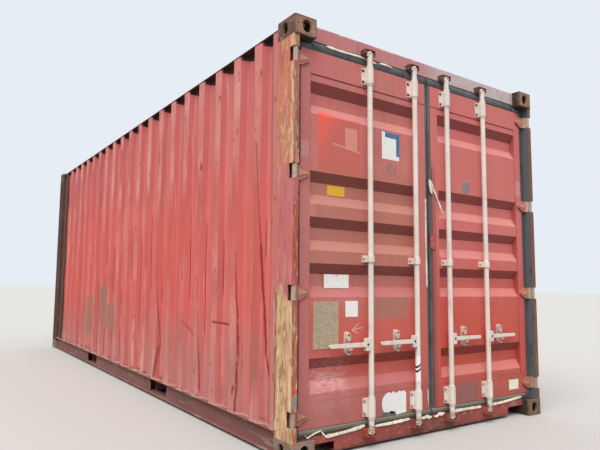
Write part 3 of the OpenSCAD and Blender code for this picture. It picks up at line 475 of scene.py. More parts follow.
def post_paint():
    """Peeled post: orange rust high up, rose paint in the middle, pale yellow rust low down."""
    m = weathered("post_paint", (210, 116, 114), (216, 146, 142), (176, 92, 104), seed=17, grime=0.3)
    ragged = m.wander(m.z, 0.7, 0.12, 2.0, 2)
    upper = m.ramp(ragged, 1.64, 1.78)
    lower = m.ramp(ragged, 0.98, 0.86)
    bare = m.either(upper, lower)
    m.over((212, 144, 96), 0.9, upper, m.spread(0.36, 0.54, 0.05, tall=2.5, seed=4, roughness=0.65))
    m.over((224, 184, 132), 0.97, lower, m.spread(0.22, 0.4, 0.05, seed=5))
    m.over((186, 120, 84), 0.55, bare, m.spread(0.48, 0.6, 0.06, detail=8, tall=2, seed=6))
    m.over((242, 216, 170), 0.6, bare, m.spread(0.53, 0.6, 0.026, detail=8, tall=3, seed=10, roughness=0.7))
    grain = m.spread(0.55, 0.62, 0.022, detail=8, tall=2.5, seed=7, roughness=0.75)
    m.over((134, 88, 62), 0.65, grain, bare)
    m.over((224, 122, 96), 0.75, upper, m.spread(0.45, 0.54, 0.07, detail=8, tall=2, seed=18))
    corner = m.both(m.ramp(m.x, 2.978, 3.004), m.ramp(m.size(m.y), 1.19, 1.206))
    m.over((240, 208, 164), 0.7, corner, bare, m.spread(0.38, 0.5, 0.03, tall=4, seed=19))
    rim = m.ramp(m.wander(m.x, 0.03, 0.04, 20.0, 2), 2.872, 2.862)
    m.over((116, 70, 48), 0.8, rim, lower)
    m.over((128, 80, 54), 0.6, lower, m.spread(0.56, 0.62, 0.03, detail=8, tall=5, seed=30))
    m.over((250, 230, 184), 0.6, lower, m.spread(0.56, 0.62, 0.03, detail=8, tall=4, seed=31))
    m.wear((110, 52, 40), 0.4, 0.64, 0.7, 0.012, tall=8, seed=8)
    m.wear((152, 84, 84), 0.35, 0.52, 0.6, 0.03, tall=7, seed=32)
    m.wear((228, 168, 158), 0.4, 0.56, 0.62, 0.024, tall=6, seed=33)
    back = m.ramp(m.facing["x"], 0.5, 0.8)
    m.over((168, 104, 92), 0.85, back, upper, m.spread(0.3, 0.5, 0.03, tall=6, seed=9))
    m.over((176, 84, 60), 0.85, back, m.ramp(ragged, 1.62, 1.4), m.spread(0.34, 0.5, 0.02, tall=6, seed=14))
    m.over((236, 208, 168), 0.8, back, m.spread(0.58, 0.66, 0.008, tall=8, seed=11))
    m.over((74, 44, 40), 0.8, back, m.spread(0.6, 0.66, 0.008, tall=12, seed=15))
    left = m.both(back, m.ramp(m.y, 0.1, -0.1))
    m.over((222, 74, 70), 0.85, left, m.patch(-1.3, -1.1, 0.38, 0.408))
    m.over((146, 152, 142), 0.9, left, m.patch(-1.3, -1.1, 0.3, 0.372, 0.06),
           m.spread(0.36, 0.5, 0.02, detail=5, seed=12))
    inward = m.ramp(m.sum("MULTIPLY", m.facing["y"], m.sum("SIGN", m.y)), -0.5, -0.8)
    m.over((112, 80, 60), 0.8, m.ramp(m.y, 1.0, 1.1))
    m.over((96, 104, 110), 0.95, inward)
    m.over((70, 60, 56), 0.6, inward, m.spread(0.6, 0.66, 0.03, tall=5, seed=13))
    return m.finish(rough=(0.7, 0.95), relief=0.6, depth=0.002)


def casting_paint():
    """Cast steel: brown rust with remains of rosy paint and tan patches, dustier near the ground."""
    m = Layers("casting_paint", (150, 112, 94))
    m.wear((180, 144, 134), 0.75, 0.44, 0.6, 0.06, seed=1)
    m.wear((188, 142, 100), 0.65, 0.54, 0.64, 0.03, tall=2, seed=5)
    m.wear((88, 58, 48), 0.8, 0.55, 0.66, 0.03, seed=2)
    m.wear((206, 164, 124), 0.6, 0.64, 0.69, 0.01, seed=3)
    m.over((150, 116, 82), 0.55, m.ramp(m.y, 0.9, 1.0))
    wide, long = m.size(m.y), m.size(m.x)
    edges = m.either(m.line(wide, CASTING_IN, 0.009), m.line(wide, CASTING_OUT, 0.009),
                     m.line(m.z, CASTING_LOW, 0.01), m.line(m.z, CASTING_TOP, 0.008),
                     m.line(m.z, FOOT_TOP, 0.008))
    m.over((74, 46, 36), 0.75, edges, m.spread(0.3, 0.5, 0.03, seed=6))
    low = m.ramp(m.z, 1.0, 0.9)
    m.over((158, 138, 122), 0.7, low, m.spread(0.25, 0.55, 0.06, detail=5, seed=4))
    m.over((104, 76, 54), 0.6, low, m.ramp(m.y, 0.9, 1.0))
    # Painted shade on the castings' inner faces and undersides, away from their outer front and side faces.
    m.over((38, 26, 24), 0.8, m.ramp(long, 3.018, 3.008), m.ramp(long, 2.862, 2.872),
           m.ramp(wide, 1.208, 1.198))
    return m.finish(rough=(0.7, 0.95), relief=0.8)


def gear_paint():
    """Cream enamel of the bars and handles, greyed, chipped and stained by rust."""
    m = Layers("gear_paint", (240, 233, 223))
    m.wear((222, 214, 208), 0.6, 0.45, 0.65, 0.1, seed=1)
    m.wear((236, 218, 196), 0.6, 0.5, 0.65, 0.25, detail=4, seed=5)
    m.wear((184, 150, 126), 0.55, 0.6, 0.7, 0.02, detail=5, tall=12, seed=2)
    m.over((130, 80, 56), 0.6, m.spread(0.61, 0.67, 0.01, seed=3),
           m.spread(0.45, 0.6, 0.12, detail=3, seed=4))
    ends = m.either(m.ramp(m.z, 0.15, 0.125), m.ramp(m.z, 2.485, 2.5))
    m.over((130, 92, 72), 0.8, m.spread(0.44, 0.54, 0.012, seed=6), ends)
    return m.finish(rough=(0.4, 0.7), relief=0.4, depth=0.001)


def keeper_paint():
    """Keepers: rusted through their red paint."""
    m = Layers("keeper_paint", (98, 58, 50))
    m.wear((168, 104, 92), 0.7, 0.5, 0.62, 0.02, seed=1)
    m.wear((64, 42, 38), 0.8, 0.52, 0.64, 0.015, seed=2)
    m.wear((206, 150, 120), 0.7, 0.62, 0.68, 0.01, seed=3)
    return m.finish(rough=(0.7, 0.95), relief=0.6, depth=0.001)


def gasket_rubber():
    """Blue-grey rubber, dusty brown along the bottom."""
    m = Layers("gasket_rubber", (86, 90, 92))
    m.wear((122, 126, 128), 0.5, 0.48, 0.7, 0.1, stretch=(1, 2, 3), seed=1)
    m.wear((46, 50, 54), 0.6, 0.5, 0.66, 0.04, detail=5, stretch=(1, 2, 4), seed=2)
    low = m.ramp(m.wander(m.z, 0.03, 0.1, 3.0), 0.22, 0.17)
    m.over((122, 112, 98), 0.85, low, m.spread(0.3, 0.45, 0.06, stretch=(1, 4, 1), seed=4))
    # Paler on the faces that look up: settled dust and a painted highlight.
    m.over((168, 158, 140), 0.6, low, m.ramp(m.facing["z"], 0.3, 0.8))
    m.wear((196, 190, 180), 0.5, 0.68, 0.72, 0.01, tall=3, seed=5)
    return m.finish(rough=(0.45, 0.7), depth=0.001)


def plywood():
    """Hardwood ply with its grain along the container and years of dark scuffs."""
    m = Layers("plywood", (146, 112, 80))
    m.wear((106, 78, 56), 0.8, 0.45, 0.62, 0.012, stretch=(30, 1, 1), seed=1)
    m.wear((82, 64, 50), 0.65, 0.5, 0.68, 0.35, seed=2)
    seams = m.line(m.sum("PINGPONG", m.sum("ADD", m.x, 3.0), 0.61), 0.0, 0.004)
    m.over((44, 34, 28), 0.9, seams)
    return m.finish(rough=(0.55, 0.85), relief=0.3, depth=0.001)


def plain(name, base, light, dark, rough=(0.5, 0.8), size=0.02, depth=0.0006):
    """A small piece's paint: one colour with lighter and darker wear."""
    m = Layers(name, base)
    m.wear(light, 0.7, 0.46, 0.6, size, seed=1)
    m.wear(dark, 0.7, 0.54, 0.66, size * 0.6, seed=2)
    return m.finish(rough=rough, relief=0.4, depth=depth)


def tape_paint():
    """White tape with two slanting black bands."""
    m = Layers("tape_paint", (255, 255, 255))
    slant = m.sum("MULTIPLY_ADD", m.y, -0.9, m.z)
    dark = m.either(*[m.line(slant, band, 0.011) for band in TAPE_BANDS])
    m.over((24, 24, 26), 0.97, m.ramp(dark, 0.15, 0.3))
    m.wear((206, 196, 184), 0.5, 0.6, 0.7, 0.015, seed=2)
    return m.finish(rough=(0.5, 0.7), relief=0.3, depth=0.0005)


def bolt_paint():
    """Dark steel high up, cream overpaint on the bolts near the ground."""
    m = Layers("bolt_paint", (58, 48, 44))
    m.wear((104, 74, 58), 0.7, 0.46, 0.6, 0.006, seed=1)
    m.over((198, 172, 150), 0.75, m.ramp(m.z, 1.9, 1.4), m.spread(0.25, 0.45, 0.008, detail=5, seed=2))
    return m.finish(rough=(0.5, 0.8), relief=0.4, depth=0.0005)


def put(material, *nodes):
    """Paints solids of the frame."""
    for name in nodes:
        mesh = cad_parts[name].data
        mesh.materials.clear()
        mesh.materials.append(material)


WALL = wall_paint()
ROOF = roof_paint()
DOOR = door_paint()
HEADER = header_paint()
RAIL = rail_paint()
DARK_RAIL = dark_paint_and_rail_shade()
POST = post_paint()
CASTING = casting_paint()
GEAR = gear_paint()
KEEPER = keeper_paint()
RETAINER = plain("retainer_paint", (212, 194, 178), (234, 224, 210), (112, 82, 66), size=0.022)
RUBBER = gasket_rubber()
WOOD = plywood()
HINGE = hinge_paint()
BOLT = bolt_paint()
HOLE = plain("dark_hole", (26, 22, 22), (44, 34, 30), (16, 14, 14), size=0.006)
TORN = plain("torn_lip", (244, 234, 216), (255, 252, 242), (214, 196, 168), size=0.05, depth=0.0002)
WHITE_LABEL = plain("white_label", (255, 254, 252), (255, 255, 254), (240, 237, 230), (0.5, 0.7), 0.05)
CREAM_LABEL = plain("cream_label", (255, 252, 226), (255, 254, 236), (240, 234, 206), (0.5, 0.7), 0.05)
BLUE_LABEL = plain("blue_label", (60, 112, 166), (76, 126, 176), (52, 94, 142), (0.4, 0.6), 0.05)
YELLOW_LABEL = plain("yellow_label", (246, 190, 44), (250, 200, 62), (226, 168, 40), (0.4, 0.6), 0.03)
GREY_LABEL = plain("grey_label", (142, 132, 138), (164, 156, 160), (116, 106, 112), size=0.03)
SLATE_LABEL = plain("slate_label", (98, 98, 106), (134, 130, 134), (66, 64, 72), size=0.03)
BARE_PLATE = plain("bare_plate", (184, 162, 138), (208, 192, 166), (150, 124, 104), size=0.012)
OVERLAP = plain("overlap_paint", (178, 84, 76), (208, 116, 104), (120, 52, 46), size=0.02)
WELD = plain("weld_bead", (204, 158, 146), (222, 192, 180), (130, 72, 60), size=0.02)
TAPE = tape_paint()

put(WALL, "left_side_wall", "right_side_wall", "front_wall")
put(ROOF, "roof")
put(HEADER, "door_header", "door_sill", "front_header", "front_sill", "hinge_pins", "sill_keepers")
put(RAIL, "left_bottom_rail", "right_bottom_rail", "cross_members", "fork_pockets")
# On the top rails this brown-black is painted shade; on the front posts it is their old paint.
put(DARK_RAIL, "left_top_rail", "right_top_rail", "left_front_post", "right_front_post")
put(POST, "left_door_post", "right_door_post")
put(CASTING, "bottom_corner_castings", "top_corner_castings")
put(KEEPER, "header_keepers")
put(WOOD, "plywood_floor")
put(OVERLAP, "overlap_plate")
for side in SIDES:
    put(DOOR, side + "_door_frame", side + "_door_panel")
    put(HINGE, side + "_hinge_blades")
    put(RUBBER, side + "_door_gasket")
    put(GEAR, side + "_bar_brackets")
    put(RETAINER, side + "_handle_retainers")
    for place in BAR_ROWS:
        put(GEAR, "%s_%s_bar" % (side, place), "%s_%s_handle" % (side, place))


# Pieces that the solids leave out

def add(name, data):
    """Puts a new object in the scene."""
    item = bpy.data.objects.new(name, data)
    bpy.context.scene.collection.objects.link(item)
    return item


def new_piece(name, body, material, shape):
    """Makes a piece with a function that fills a bmesh, and lets it ride on a body."""
    bm = bmesh.new()
    shape(bm)
    bmesh.ops.recalc_face_normals(bm, faces=bm.faces)
    mesh = bpy.data.meshes.new(name)
    bm.to_mesh(mesh)
    bm.free()
    mesh.materials.append(material)
    piece = add(name, mesh)
    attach(piece, body)
    return piece


def steps(points, pitch):
    """The points of a path and more between them, about pitch apart, without the last point."""
    fine = []
    for a, b in zip(points, points[1:]):
        parts = max(2, int((b - a).length / pitch))
        fine += [a.lerp(b, k / parts) for k in range(parts)]
    return fine


def skin(bm, rings, closed=True, capped=True):
    """Faces from each ring of vertices to the next, and over both ends."""
    for one, two in zip(rings, rings[1:]):
        for k in range(len(one) if closed else len(one) - 1):
            after = (k + 1) % len(one)
            bm.faces.new((one[k], one[after], two[after], two[k]))
    if capped:
        bm.faces.new(rings[0])
        bm.faces.new(rings[-1])


def thicken(bm, thickness):
    """Gives a thin open surface its thickness."""
    bmesh.ops.recalc_face_normals(bm, faces=bm.faces)
    bm.normal_update()
    bmesh.ops.solidify(bm, geom=bm.faces[:], thickness=thickness)


def stub(bm, place, radius, height, sides, top=1.0):
    """A short prism or cone on a face that looks along X, from the face outwards."""
    turn = Matrix.Rotation(math.radians(90), 4, "Y")
    middle = Matrix.Translation(Vector(place) + Vector((height / 2, 0, 0)))
    bmesh.ops.create_cone(bm, cap_ends=True, segments=sides, radius1=radius, radius2=radius * top,
                          depth=height, matrix=middle @ turn)


def bolt(bm, place, radius=0.007, height=0.006):
    """Washer, six-sided head and the end of its shank."""
    x, y, z = place
    head = x + 0.0014
    stub(bm, (x - 0.0005, y, z), radius * 1.45, 0.002, 20)
    stub(bm, (head, y, z), radius, height * 0.7, 6, 0.97)
    stub(bm, (head + height * 0.68, y, z), radius * 0.55, height * 0.35, 12, 0.8)


def bracket_bolts(side):
    """Four bolts in each bracket and two in each guide, for both bars of a door."""
    across, up = 0.034, 0.038

    def shape(bm):
        for row in BAR_ROWS.values():
            y = SIDES[side] * row
            for z in (BRACKET_LOW, BRACKET_HIGH):
                for dy in (-across, across):
                    for dz in (-up, up):
                        bolt(bm, (BRACKET_FACE, y + dy, z + dz))
            for dy in (-across, across):
                bolt(bm, (BRACKET_FACE, y + dy, GUIDE_Z), 0.006, 0.005)
    new_piece(side + "_bracket_bolts", side + "_door", BOLT, shape)


def hub_rivet(side, place):
    """The head of the rivet that the handle turns on, on the hub of its bar."""
    y = SIDES[side] * (BAR_ROWS[place] + LEVER_FROM_BAR)

    def shape(bm):
        stub(bm, (HUB_FACE - 0.0005, y, LEVER_Z), 0.009, 0.003, 24, 0.7)
    new_piece("%s_%s_rivet" % (side, place), "%s_%s_bar" % (side, place), HOLE, shape)


def retainer_eyes(side):
    """Dark discs in the eyes of the handle retainers, above and below each handle: painted shade in the
    holes.
    """
    def shape(bm):
        for row in BAR_ROWS.values():
            y = SIDES[side] * (row + RETAINER_FROM_BAR)
            for dz in (RETAINER_UP, -RETAINER_DOWN):
                stub(bm, (RETAINER_FACE - 0.0003, y, LEVER_Z + dz), 0.0068, 0.0007, 24)
    new_piece(side + "_retainer_eyes", side + "_door", HOLE, shape)


def gasket_beads(side):
    """The bulging outer lips of the gasket: along the top, the bottom and the meeting edge."""
    s = SIDES[side]
    sunk, facets = 0.006, 8

    def bead(bm, start, end, half, bulge):
        """A half-round bar from start to end, (y, z), half wide to each side."""
        a, b = Vector((GASKET_FACE - sunk, *start)), Vector((GASKET_FACE - sunk, *end))
        along = (b - a).normalized()
        across = Vector((0, -along.z, along.y))
        rings = []
        for point in steps([a, b], 0.05) + [b]:
            sag = 0.0015 * noise.noise(Vector((point.y * 6, point.z * 6, 3.0)))
            ring = []
            for k in range(facets + 1):
                angle = math.pi * k / facets
                out = Vector(((bulge + sunk + sag) * math.sin(angle), 0, 0))
                ring.append(bm.verts.new(point + across * half * math.cos(angle) + out))
            rings.append(ring)
        skin(bm, rings)

    def shape(bm):
        bead(bm, (s * 0.008, 2.456), (s * 1.048, 2.456), 0.026, 0.007)
        bead(bm, (s * 1.044, 2.45), (s * 1.15, 2.45), 0.021, 0.006)
        bead(bm, (s * 0.008, 0.144), (s * 1.13, 0.144), 0.019, 0.008)
        bead(bm, (s * 0.0175, 0.17), (s * 0.0175, 2.42), 0.0095, 0.003)
    piece = new_piece(side + "_gasket_beads", side + "_door", RUBBER, shape)
    for polygon in piece.data.polygons:
        polygon.use_smooth = len(polygon.vertices) == 4


def hinge_rib(bm, s, z):
    """The pressed rib of a hinge blade: a low ridge that narrows towards the blade's tip."""
    low, high = DOOR_FACE + 0.01, DOOR_FACE + 0.015
    wide, tip = s * 1.152, s * 1.078
    half_wide, half_tip, half_crest = 0.034, 0.01, 0.014
    crest_wide, crest_tip = wide - s * 0.006, tip + s * 0.01
    base = [bm.verts.new((low, y, z + dz)) for y, dz in
            ((wide, half_wide), (wide, -half_wide), (tip, -half_tip), (tip, half_tip))]
    crest = [bm.verts.new((high, y, z + dz)) for y, dz in
             ((crest_wide, half_crest), (crest_wide, -half_crest), (crest_tip, 0.0))]
    bm.faces.new(base)
    bm.faces.new((base[0], base[1], crest[1], crest[0]))
    bm.faces.new((base[1], base[2], crest[2], crest[1]))
    bm.faces.new((base[2], base[3], crest[2]))
    bm.faces.new((base[3], base[0], crest[0], crest[2]))
    bm.faces.new(crest)


def hinge_ribs(side):
    """The ribs of one door's four blades."""
    def shape(bm):
        for z in HINGE_ROWS:
            hinge_rib(bm, SIDES[side], z)
    new_piece(side + "_hinge_ribs", side + "_door", HINGE, shape)


def sheet(name, material, outline, x, thickness=0.0012, side="left"):
    """A thin flat sheet on a door, from its outline across Y and Z."""
    def shape(bm):
        face = bm.faces.new([bm.verts.new((x, y, z)) for y, z in outline])
        grown = bmesh.ops.extrude_face_region(bm, geom=[face])
        lifted = [v for v in grown["geom"] if isinstance(v, bmesh.types.BMVert)]
        bmesh.ops.translate(bm, verts=lifted, vec=(thickness, 0, 0))
    new_piece(name, side + "_door", material, shape)


def card(y0, y1, z0, z1, wear=0.001, pitch=0.02):
    """The outline of a card whose edges are worn or torn by up to wear."""
    corners = [Vector(corner) for corner in ((y0, z0), (y1, z0), (y1, z1), (y0, z1), (y0, z0))]
    middle = Vector(((y0 + y1) / 2, (z0 + z1) / 2))
    outline = []
    for point in steps(corners, pitch):
        torn = noise.noise(Vector((point.x * 40, point.y * 40, 0.0)))
        outline.append(tuple(point + (middle - point).normalized() * wear * (0.5 + torn)))
    return outline


def disc(y, z, radius, parts=28):
    """The outline of a round piece."""
    angles = [2 * math.pi * i / parts for i in range(parts)]
    return [(y + radius * math.cos(angle), z + radius * math.sin(angle)) for angle in angles]


def labels():
    """Bare labels and plates on the doors."""
    groove = PANEL_FACE - GROOVE_DEPTH + 0.0008
    flat = PANEL_FACE - 0.0004
    face = DOOR_FACE - 0.0004
    sheet("upper_label", WHITE_LABEL, card(-0.451, -0.289, 1.831, 2.016), flat)
    border = [(-0.421, 2.015), (-0.421, 1.982), (-0.317, 1.98), (-0.317, 1.861), (-0.288, 1.861),
              (-0.288, 2.015)]
    sheet("upper_label_border", BLUE_LABEL, border, flat + 0.001)
    sheet("yellow_label", YELLOW_LABEL, card(-0.893, -0.75, 1.544, 1.607), groove)
    sheet("data_plate", WHITE_LABEL, card(-0.922, -0.722, 0.97, 1.055), groove + 0.007, 0.002)
    sheet("data_plate_slot", BOLT, card(-0.834, -0.808, 1.045, 1.05, 0.0, 0.01), groove + 0.0085)
    sheet("low_label", WHITE_LABEL, card(-0.773, -0.67, 0.795, 0.893, 0.0015), flat)
    sheet("bare_plate", BARE_PLATE, card(-1.026, -0.829, 0.61, 0.892, 0.0015), flat, 0.0028)
    sheet("plate_hole", BOLT, disc(-0.928, 0.757, 0.004, 16), flat + 0.0022)
    torn = [(-0.47, 0.248), (-0.466, 0.214), (-0.452, 0.19), (-0.425, 0.184), (-0.402, 0.19),
            (-0.384, 0.172), (-0.352, 0.18), (-0.34, 0.162), (-0.3, 0.166), (-0.25, 0.17),
            (-0.249, 0.24), (-0.25, 0.292), (-0.264, 0.308), (-0.3, 0.306), (-0.318, 0.312),
            (-0.33, 0.3), (-0.356, 0.304), (-0.366, 0.315), (-0.384, 0.3), (-0.398, 0.31),
            (-0.424, 0.306), (-0.446, 0.294), (-0.462, 0.276)]
    sheet("torn_label", WHITE_LABEL, torn, face)
    rest = [(-0.48, 0.168), (-0.43, 0.166), (-0.395, 0.174), (-0.372, 0.166), (-0.345, 0.17),
            (-0.352, 0.184), (-0.392, 0.192), (-0.404, 0.182), (-0.44, 0.19), (-0.47, 0.18)]
    sheet("torn_label_rest", SLATE_LABEL, rest, face)
    sheet("small_label", CREAM_LABEL, card(0.892, 1.016, 0.203, 0.277), face, side="right")
    sheet("grey_disc", GREY_LABEL, disc(0.425, 1.73, 0.047), flat, side="right")


def ribbon(bm, points, width, seed):
    """A torn strip that follows a path on the door, with ragged edges and a slight curl."""
    curl = 0.003
    fine = steps(points, 0.012) + [points[-1]]
    rows = []
    for i, point in enumerate(fine):
        ahead = fine[min(i + 1, len(fine) - 1)] - fine[max(i - 1, 0)]
        side = Vector((0, -ahead.z, ahead.y)).normalized()
        here = Vector((point.y * 18, point.z * 18, seed))
        ends = min(1.0, 0.35 + 0.35 * min(i, len(fine) - 1 - i))
        reach = width / 2 * (0.85 + 0.35 * noise.noise(here) + 0.3 * noise.noise(here * 4)) * ends
        lift = Vector((curl * (0.7 + 0.5 * noise.noise(here * 0.3)), 0, 0))
        low = -1 if side.z > 0 else 1
        rows.append([bm.verts.new(point + side * reach),
                     bm.verts.new(point + lift + side * reach * 0.6 * low),
                     bm.verts.new(point - side * reach)])
    skin(bm, rows, closed=False, capped=False)
    thicken(bm, 0.0012)


def strip(name, x, places, width, seed, side="left"):
    """A torn strip on a door at x, through places (y, z)."""
    points = [Vector((x, y, z)) for y, z in places]
    new_piece(name, side + "_door", TORN, lambda bm: ribbon(bm, points, width, seed))


def torn_strips():
    """What is left of the pale outer lips of the gaskets, as (y, z) along each strip."""
    low, high, middle, seam = 2.978, 2.9745, 2.976, 2.9715
    hook = [(-1.088, 0.139), (-1.072, 0.118), (-1.05, 0.128), (-1.013, 0.14), (-0.969, 0.149)]
    strip("left_lip_hook", low, hook, 0.01, 1)
    strip("left_lip_turn", low, [(-0.972, 0.148), (-0.95, 0.122), (-0.93, 0.112)], 0.014, 2)
    outer = [(-0.94, 0.108), (-0.85, 0.112), (-0.753, 0.118), (-0.66, 0.128), (-0.624, 0.133)]
    strip("left_lip_outer", low, outer, 0.024, 3)
    inner = [(-0.54, 0.118), (-0.415, 0.118), (-0.3, 0.121), (-0.222, 0.124)]
    strip("left_lip_inner", low, inner, 0.022, 4)
    wavy = [(-0.118, 0.118), (-0.09, 0.112), (-0.06, 0.12), (-0.034, 0.11), (-0.012, 0.112)]
    strip("left_lip_wavy", low, wavy, 0.026, 13)
    wavy = [(0.012, 0.112), (0.04, 0.108), (0.068, 0.122), (0.096, 0.116), (0.118, 0.124)]
    strip("right_lip_wavy", low, wavy, 0.026, 14, side="right")
    strip("right_lip_inner", low, [(0.225, 0.122), (0.39, 0.122), (0.53, 0.119)], 0.026, 5, side="right")
    outer = [(0.66, 0.12), (0.785, 0.123), (0.9, 0.13), (1.035, 0.139)]
    strip("right_lip_outer", low, outer, 0.026, 6, side="right")
    long = [(-0.935, 2.476), (-0.798, 2.474), (-0.65, 2.478), (-0.56, 2.47), (-0.505, 2.466)]
    strip("top_lip_left", high, long, 0.018, 7)
    strip("top_lip_middle", high, [(-0.478, 2.474), (-0.42, 2.479), (-0.352, 2.472)], 0.014, 8)
    strip("centre_lip_end", middle, [(0.006, 1.742), (0.012, 1.7), (0.03, 1.64)], 0.04, 9, side="right")
    loose = [(0.02, 1.735), (0.052, 1.668), (0.1, 1.585), (0.146, 1.512)]
    strip("centre_lip_loose", middle, loose, 0.02, 10, side="right")
    strip("centre_lip_long", seam, [(-0.033, 1.604), (-0.034, 1.3), (-0.031, 0.98)], 0.016, 11)
    strip("centre_lip_low", seam, [(-0.036, 0.3), (-0.035, 0.23), (-0.033, 0.18)], 0.014, 12)


def bar_tape():
    """A sleeve of tape around the left inner bar, torn at both ends."""
    around, rows, y = 32, 8, -BAR_ROWS["inner"]

    def shape(bm):
        rings = []
        for k in range(rows + 1):
            ring = []
            for i in range(around):
                angle = 2 * math.pi * i / around
                torn = 0.03 * noise.noise(Vector((i * 0.9, k * 5.0, 1.0))) if k in (0, rows) else 0
                crease = abs(noise.noise(Vector((i * 0.4, k * 0.9, 4.0))))
                radius = BAR_RADIUS + 0.0005 + 0.0008 * crease
                z = TAPE_LOW + (TAPE_HIGH - TAPE_LOW) * k / rows + torn
                ring.append(bm.verts.new((BAR_X + radius * math.cos(angle), y + radius * math.sin(angle), z)))
            rings.append(ring)
        skin(bm, rings, capped=False)
        thicken(bm, 0.0003)
    new_piece("bar_tape", "left_inner_bar", TAPE, shape)


def ridge_line():
    """The folded outline of a side wall, as (x, depth behind the outer plane), from the doors forwards."""
    outline = [(WALL_HIGH[0], 0.0)]
    x = RIDGE_FIRST
    while x > WALL_LOW[0]:
        half = RIDGE_FLAT / 2
        outline += [(x + half + RIDGE_SLOPE, RIDGE_DEPTH), (x + half, 0.0),
                    (x - half, 0.0), (x - half - RIDGE_SLOPE, RIDGE_DEPTH)]
        x -= RIDGE_PITCH
    return [p for p in outline if p[0] > WALL_LOW[0] + 0.02]


def dented_wall(side):
    """The side wall's own folded sheet, cut into level strips and pushed in where it's dented."""
    name, piece_name = side + "_side_wall", side + "_dented_wall"
    rows, firm_z, firm_x = 48, 0.25, 0.12
    push, wide_dent, tight_dent, side_step = 0.004, 0.01, 0.006, 0.012
    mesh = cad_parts[name].data.copy()
    bm = bmesh.new()
    bm.from_mesh(mesh)
    low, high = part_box(name)
    for i in range(1, rows):
        z = low[2] + (high[2] - low[2]) * i / rows
        bmesh.ops.bisect_plane(bm, geom=bm.verts[:] + bm.edges[:] + bm.faces[:], plane_co=(0, 0, z),
                               plane_no=(0, 0, 1))
    for v in bm.verts:
        x, y, z = v.co
        edges = ((z - low[2]) / firm_z, (high[2] - z) / firm_z, (high[0] - x) / firm_x, (x - low[0]) / firm_x)
        inset = max(0.0, min(*edges, 1.0))
        wide = max(0.0, noise.noise(Vector((x * 1.3, z * 1.1, 2.0 + SIDES[side]))))
        tight = max(0.0, noise.noise(Vector((x * 4.0, z * 2.6, 7.0 + SIDES[side]))))
        sway = noise.noise(Vector((x * 9.0, z * 1.6, 5.0)))
        v.co.y -= SIDES[side] * inset * (push + wide_dent * wide + tight_dent * tight)
        v.co.x += inset * side_step * sway
    bm.to_mesh(mesh)
    bm.free()
    mesh.name = piece_name
    mesh.materials.clear()
    mesh.materials.append(WALL)
    piece = add(piece_name, mesh)
    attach(piece, "body")
    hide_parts(name)


def weld_bead(side):
    """The wavy bead that holds the side wall on its bottom rail."""
    facets = 6
    line = [Vector((x, SIDES[side] * (WALL_OUT - depth), RAIL_TOP)) for x, depth in ridge_line()]

    def shape(bm):
        rings = []
        for point in steps(line, 0.014):
            swell = 0.0035 + 0.002 * noise.noise(point * 60)
            rise = 0.001 + 0.0012 * noise.noise(point * 14)
            ring = []
            for k in range(facets):
                angle = math.pi * 2 * k / facets
                y = point.y + SIDES[side] * (swell * 0.9 * math.cos(angle) - 0.0028)
                ring.append(bm.verts.new((point.x, y, point.z + rise + swell * math.sin(angle))))
            rings.append(ring)
        skin(bm, rings)
    new_piece(side + "_wall_weld", "body", WELD, shape)


for side in SIDES:
    dented_wall(side)
    weld_bead(side)
    bracket_bolts(side)
    hinge_ribs(side)
    retainer_eyes(side)
    gasket_beads(side)
    for place in BAR_ROWS:
        hub_rivet(side, place)
labels()
torn_strips()
bar_tape()


# Floor, light and camera

def seen_only(tree, shader_socket, seen, unseen):
    """The camera and mirrors see one colour, while diffuse light meets the other."""
    path = tree.nodes.new("ShaderNodeLightPath")
    any_ray = tree.nodes.new("ShaderNodeMath")
    any_ray.operation = "MAXIMUM"
    tree.links.new(path.outputs["Is Camera Ray"], any_ray.inputs[0])
    tree.links.new(path.outputs["Is Glossy Ray"], any_ray.inputs[1])
    mix = tree.nodes.new("ShaderNodeMix")
    mix.data_type = "RGBA"
    tree.links.new(any_ray.outputs[0], mix.inputs[0])
    mix.inputs[6].default_value = unseen
    mix.inputs[7].default_value = seen
    tree.links.new(mix.outputs[2], shader_socket)


def pale_floor():
    """A dull floor that looks pale, and throws less light back than it seems to."""
    material = bpy.data.materials.new("floor_pale")
    material.use_nodes = True
    shader = material.node_tree.nodes["Principled BSDF"]
    shader.inputs["Roughness"].default_value = 0.95
    shader.inputs["Specular IOR Level"].default_value = 0.1
    seen_only(material.node_tree, shader.inputs["Base Color"], rgb(188, 187, 184), rgb(112, 108, 104))
    return material


FLOOR_WIDTH, FLOOR_LEVEL = 160, -0.001
bpy.ops.mesh.primitive_plane_add(size=FLOOR_WIDTH, location=(0, 0, FLOOR_LEVEL))
floor = bpy.context.object
floor.name = "floor"
floor.data.materials.append(pale_floor())

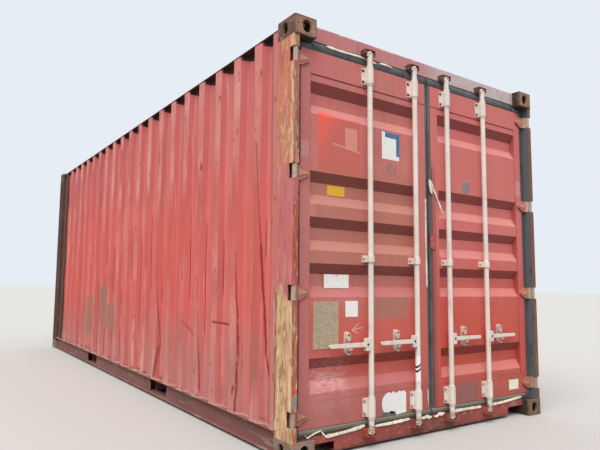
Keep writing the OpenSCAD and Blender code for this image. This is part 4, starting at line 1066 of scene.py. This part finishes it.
SKY_STRENGTH, SKY_HORIZON, SKY_ZENITH = 1.0, 0.42, 1.25
world = bpy.data.worlds.new("studio")
world.use_nodes = True
sky = world.node_tree
background = sky.nodes["Background"]
background.inputs["Strength"].default_value = SKY_STRENGTH
seen_only(sky, background.inputs["Color"], rgb(231, 237, 245), (0.95, 0.98, 1.0, 1.0))
upward = sky.nodes.new("ShaderNodeSeparateXYZ")
sky.links.new(sky.nodes.new("ShaderNodeTexCoord").outputs["Generated"], upward.inputs[0])
overcast = sky.nodes.new("ShaderNodeMapRange")
overcast.inputs["To Min"].default_value = SKY_HORIZON
overcast.inputs["To Max"].default_value = SKY_ZENITH
sky.links.new(upward.outputs["Z"], overcast.inputs["Value"])
sky.links.new(overcast.outputs["Result"], sky.nodes["Mix"].inputs[6])
bpy.context.scene.world = world

SUN_STRENGTH, SUN_SPREAD = 2.4, 45
SUN_COLOUR, SUN_WAY = (1.0, 0.985, 0.96), (-0.42, 0.52, -1.0)
sun = bpy.data.lights.new("soft_sun", "SUN")
sun.energy = SUN_STRENGTH
sun.color = SUN_COLOUR
sun.angle = math.radians(SUN_SPREAD)
sun_object = add("soft_sun", sun)
sun_object.rotation_euler = Vector(SUN_WAY).to_track_quat("-Z", "Y").to_euler()

CAMERA_PLACE = Vector((5.476, -3.007, 1.000))
CAMERA_YAW, CAMERA_PITCH, CAMERA_ROLL = 2.5696, 0.0962, 0.0146
FOCAL_PX, CENTRE_X, CENTRE_Y = 535.4, 261.8, 230.6
PHOTO_W, PHOTO_H = 600, 450
view = bpy.data.cameras.new("photo_camera")
view.sensor_width = 36
view.lens = FOCAL_PX * view.sensor_width / PHOTO_W
view.shift_x = (PHOTO_W / 2 - CENTRE_X) / PHOTO_W
view.shift_y = (CENTRE_Y - PHOTO_H / 2) / PHOTO_W
camera = add("photo_camera", view)
look = Vector((math.cos(CAMERA_YAW) * math.cos(CAMERA_PITCH),
               math.sin(CAMERA_YAW) * math.cos(CAMERA_PITCH), math.sin(CAMERA_PITCH)))
turn = look.to_track_quat("-Z", "Y").to_matrix().to_4x4()
camera.matrix_world = Matrix.Translation(CAMERA_PLACE) @ turn @ Matrix.Rotation(CAMERA_ROLL, 4, "Z")
bpy.context.scene.camera = camera
bpy.context.scene.view_settings.view_transform = "Standard"
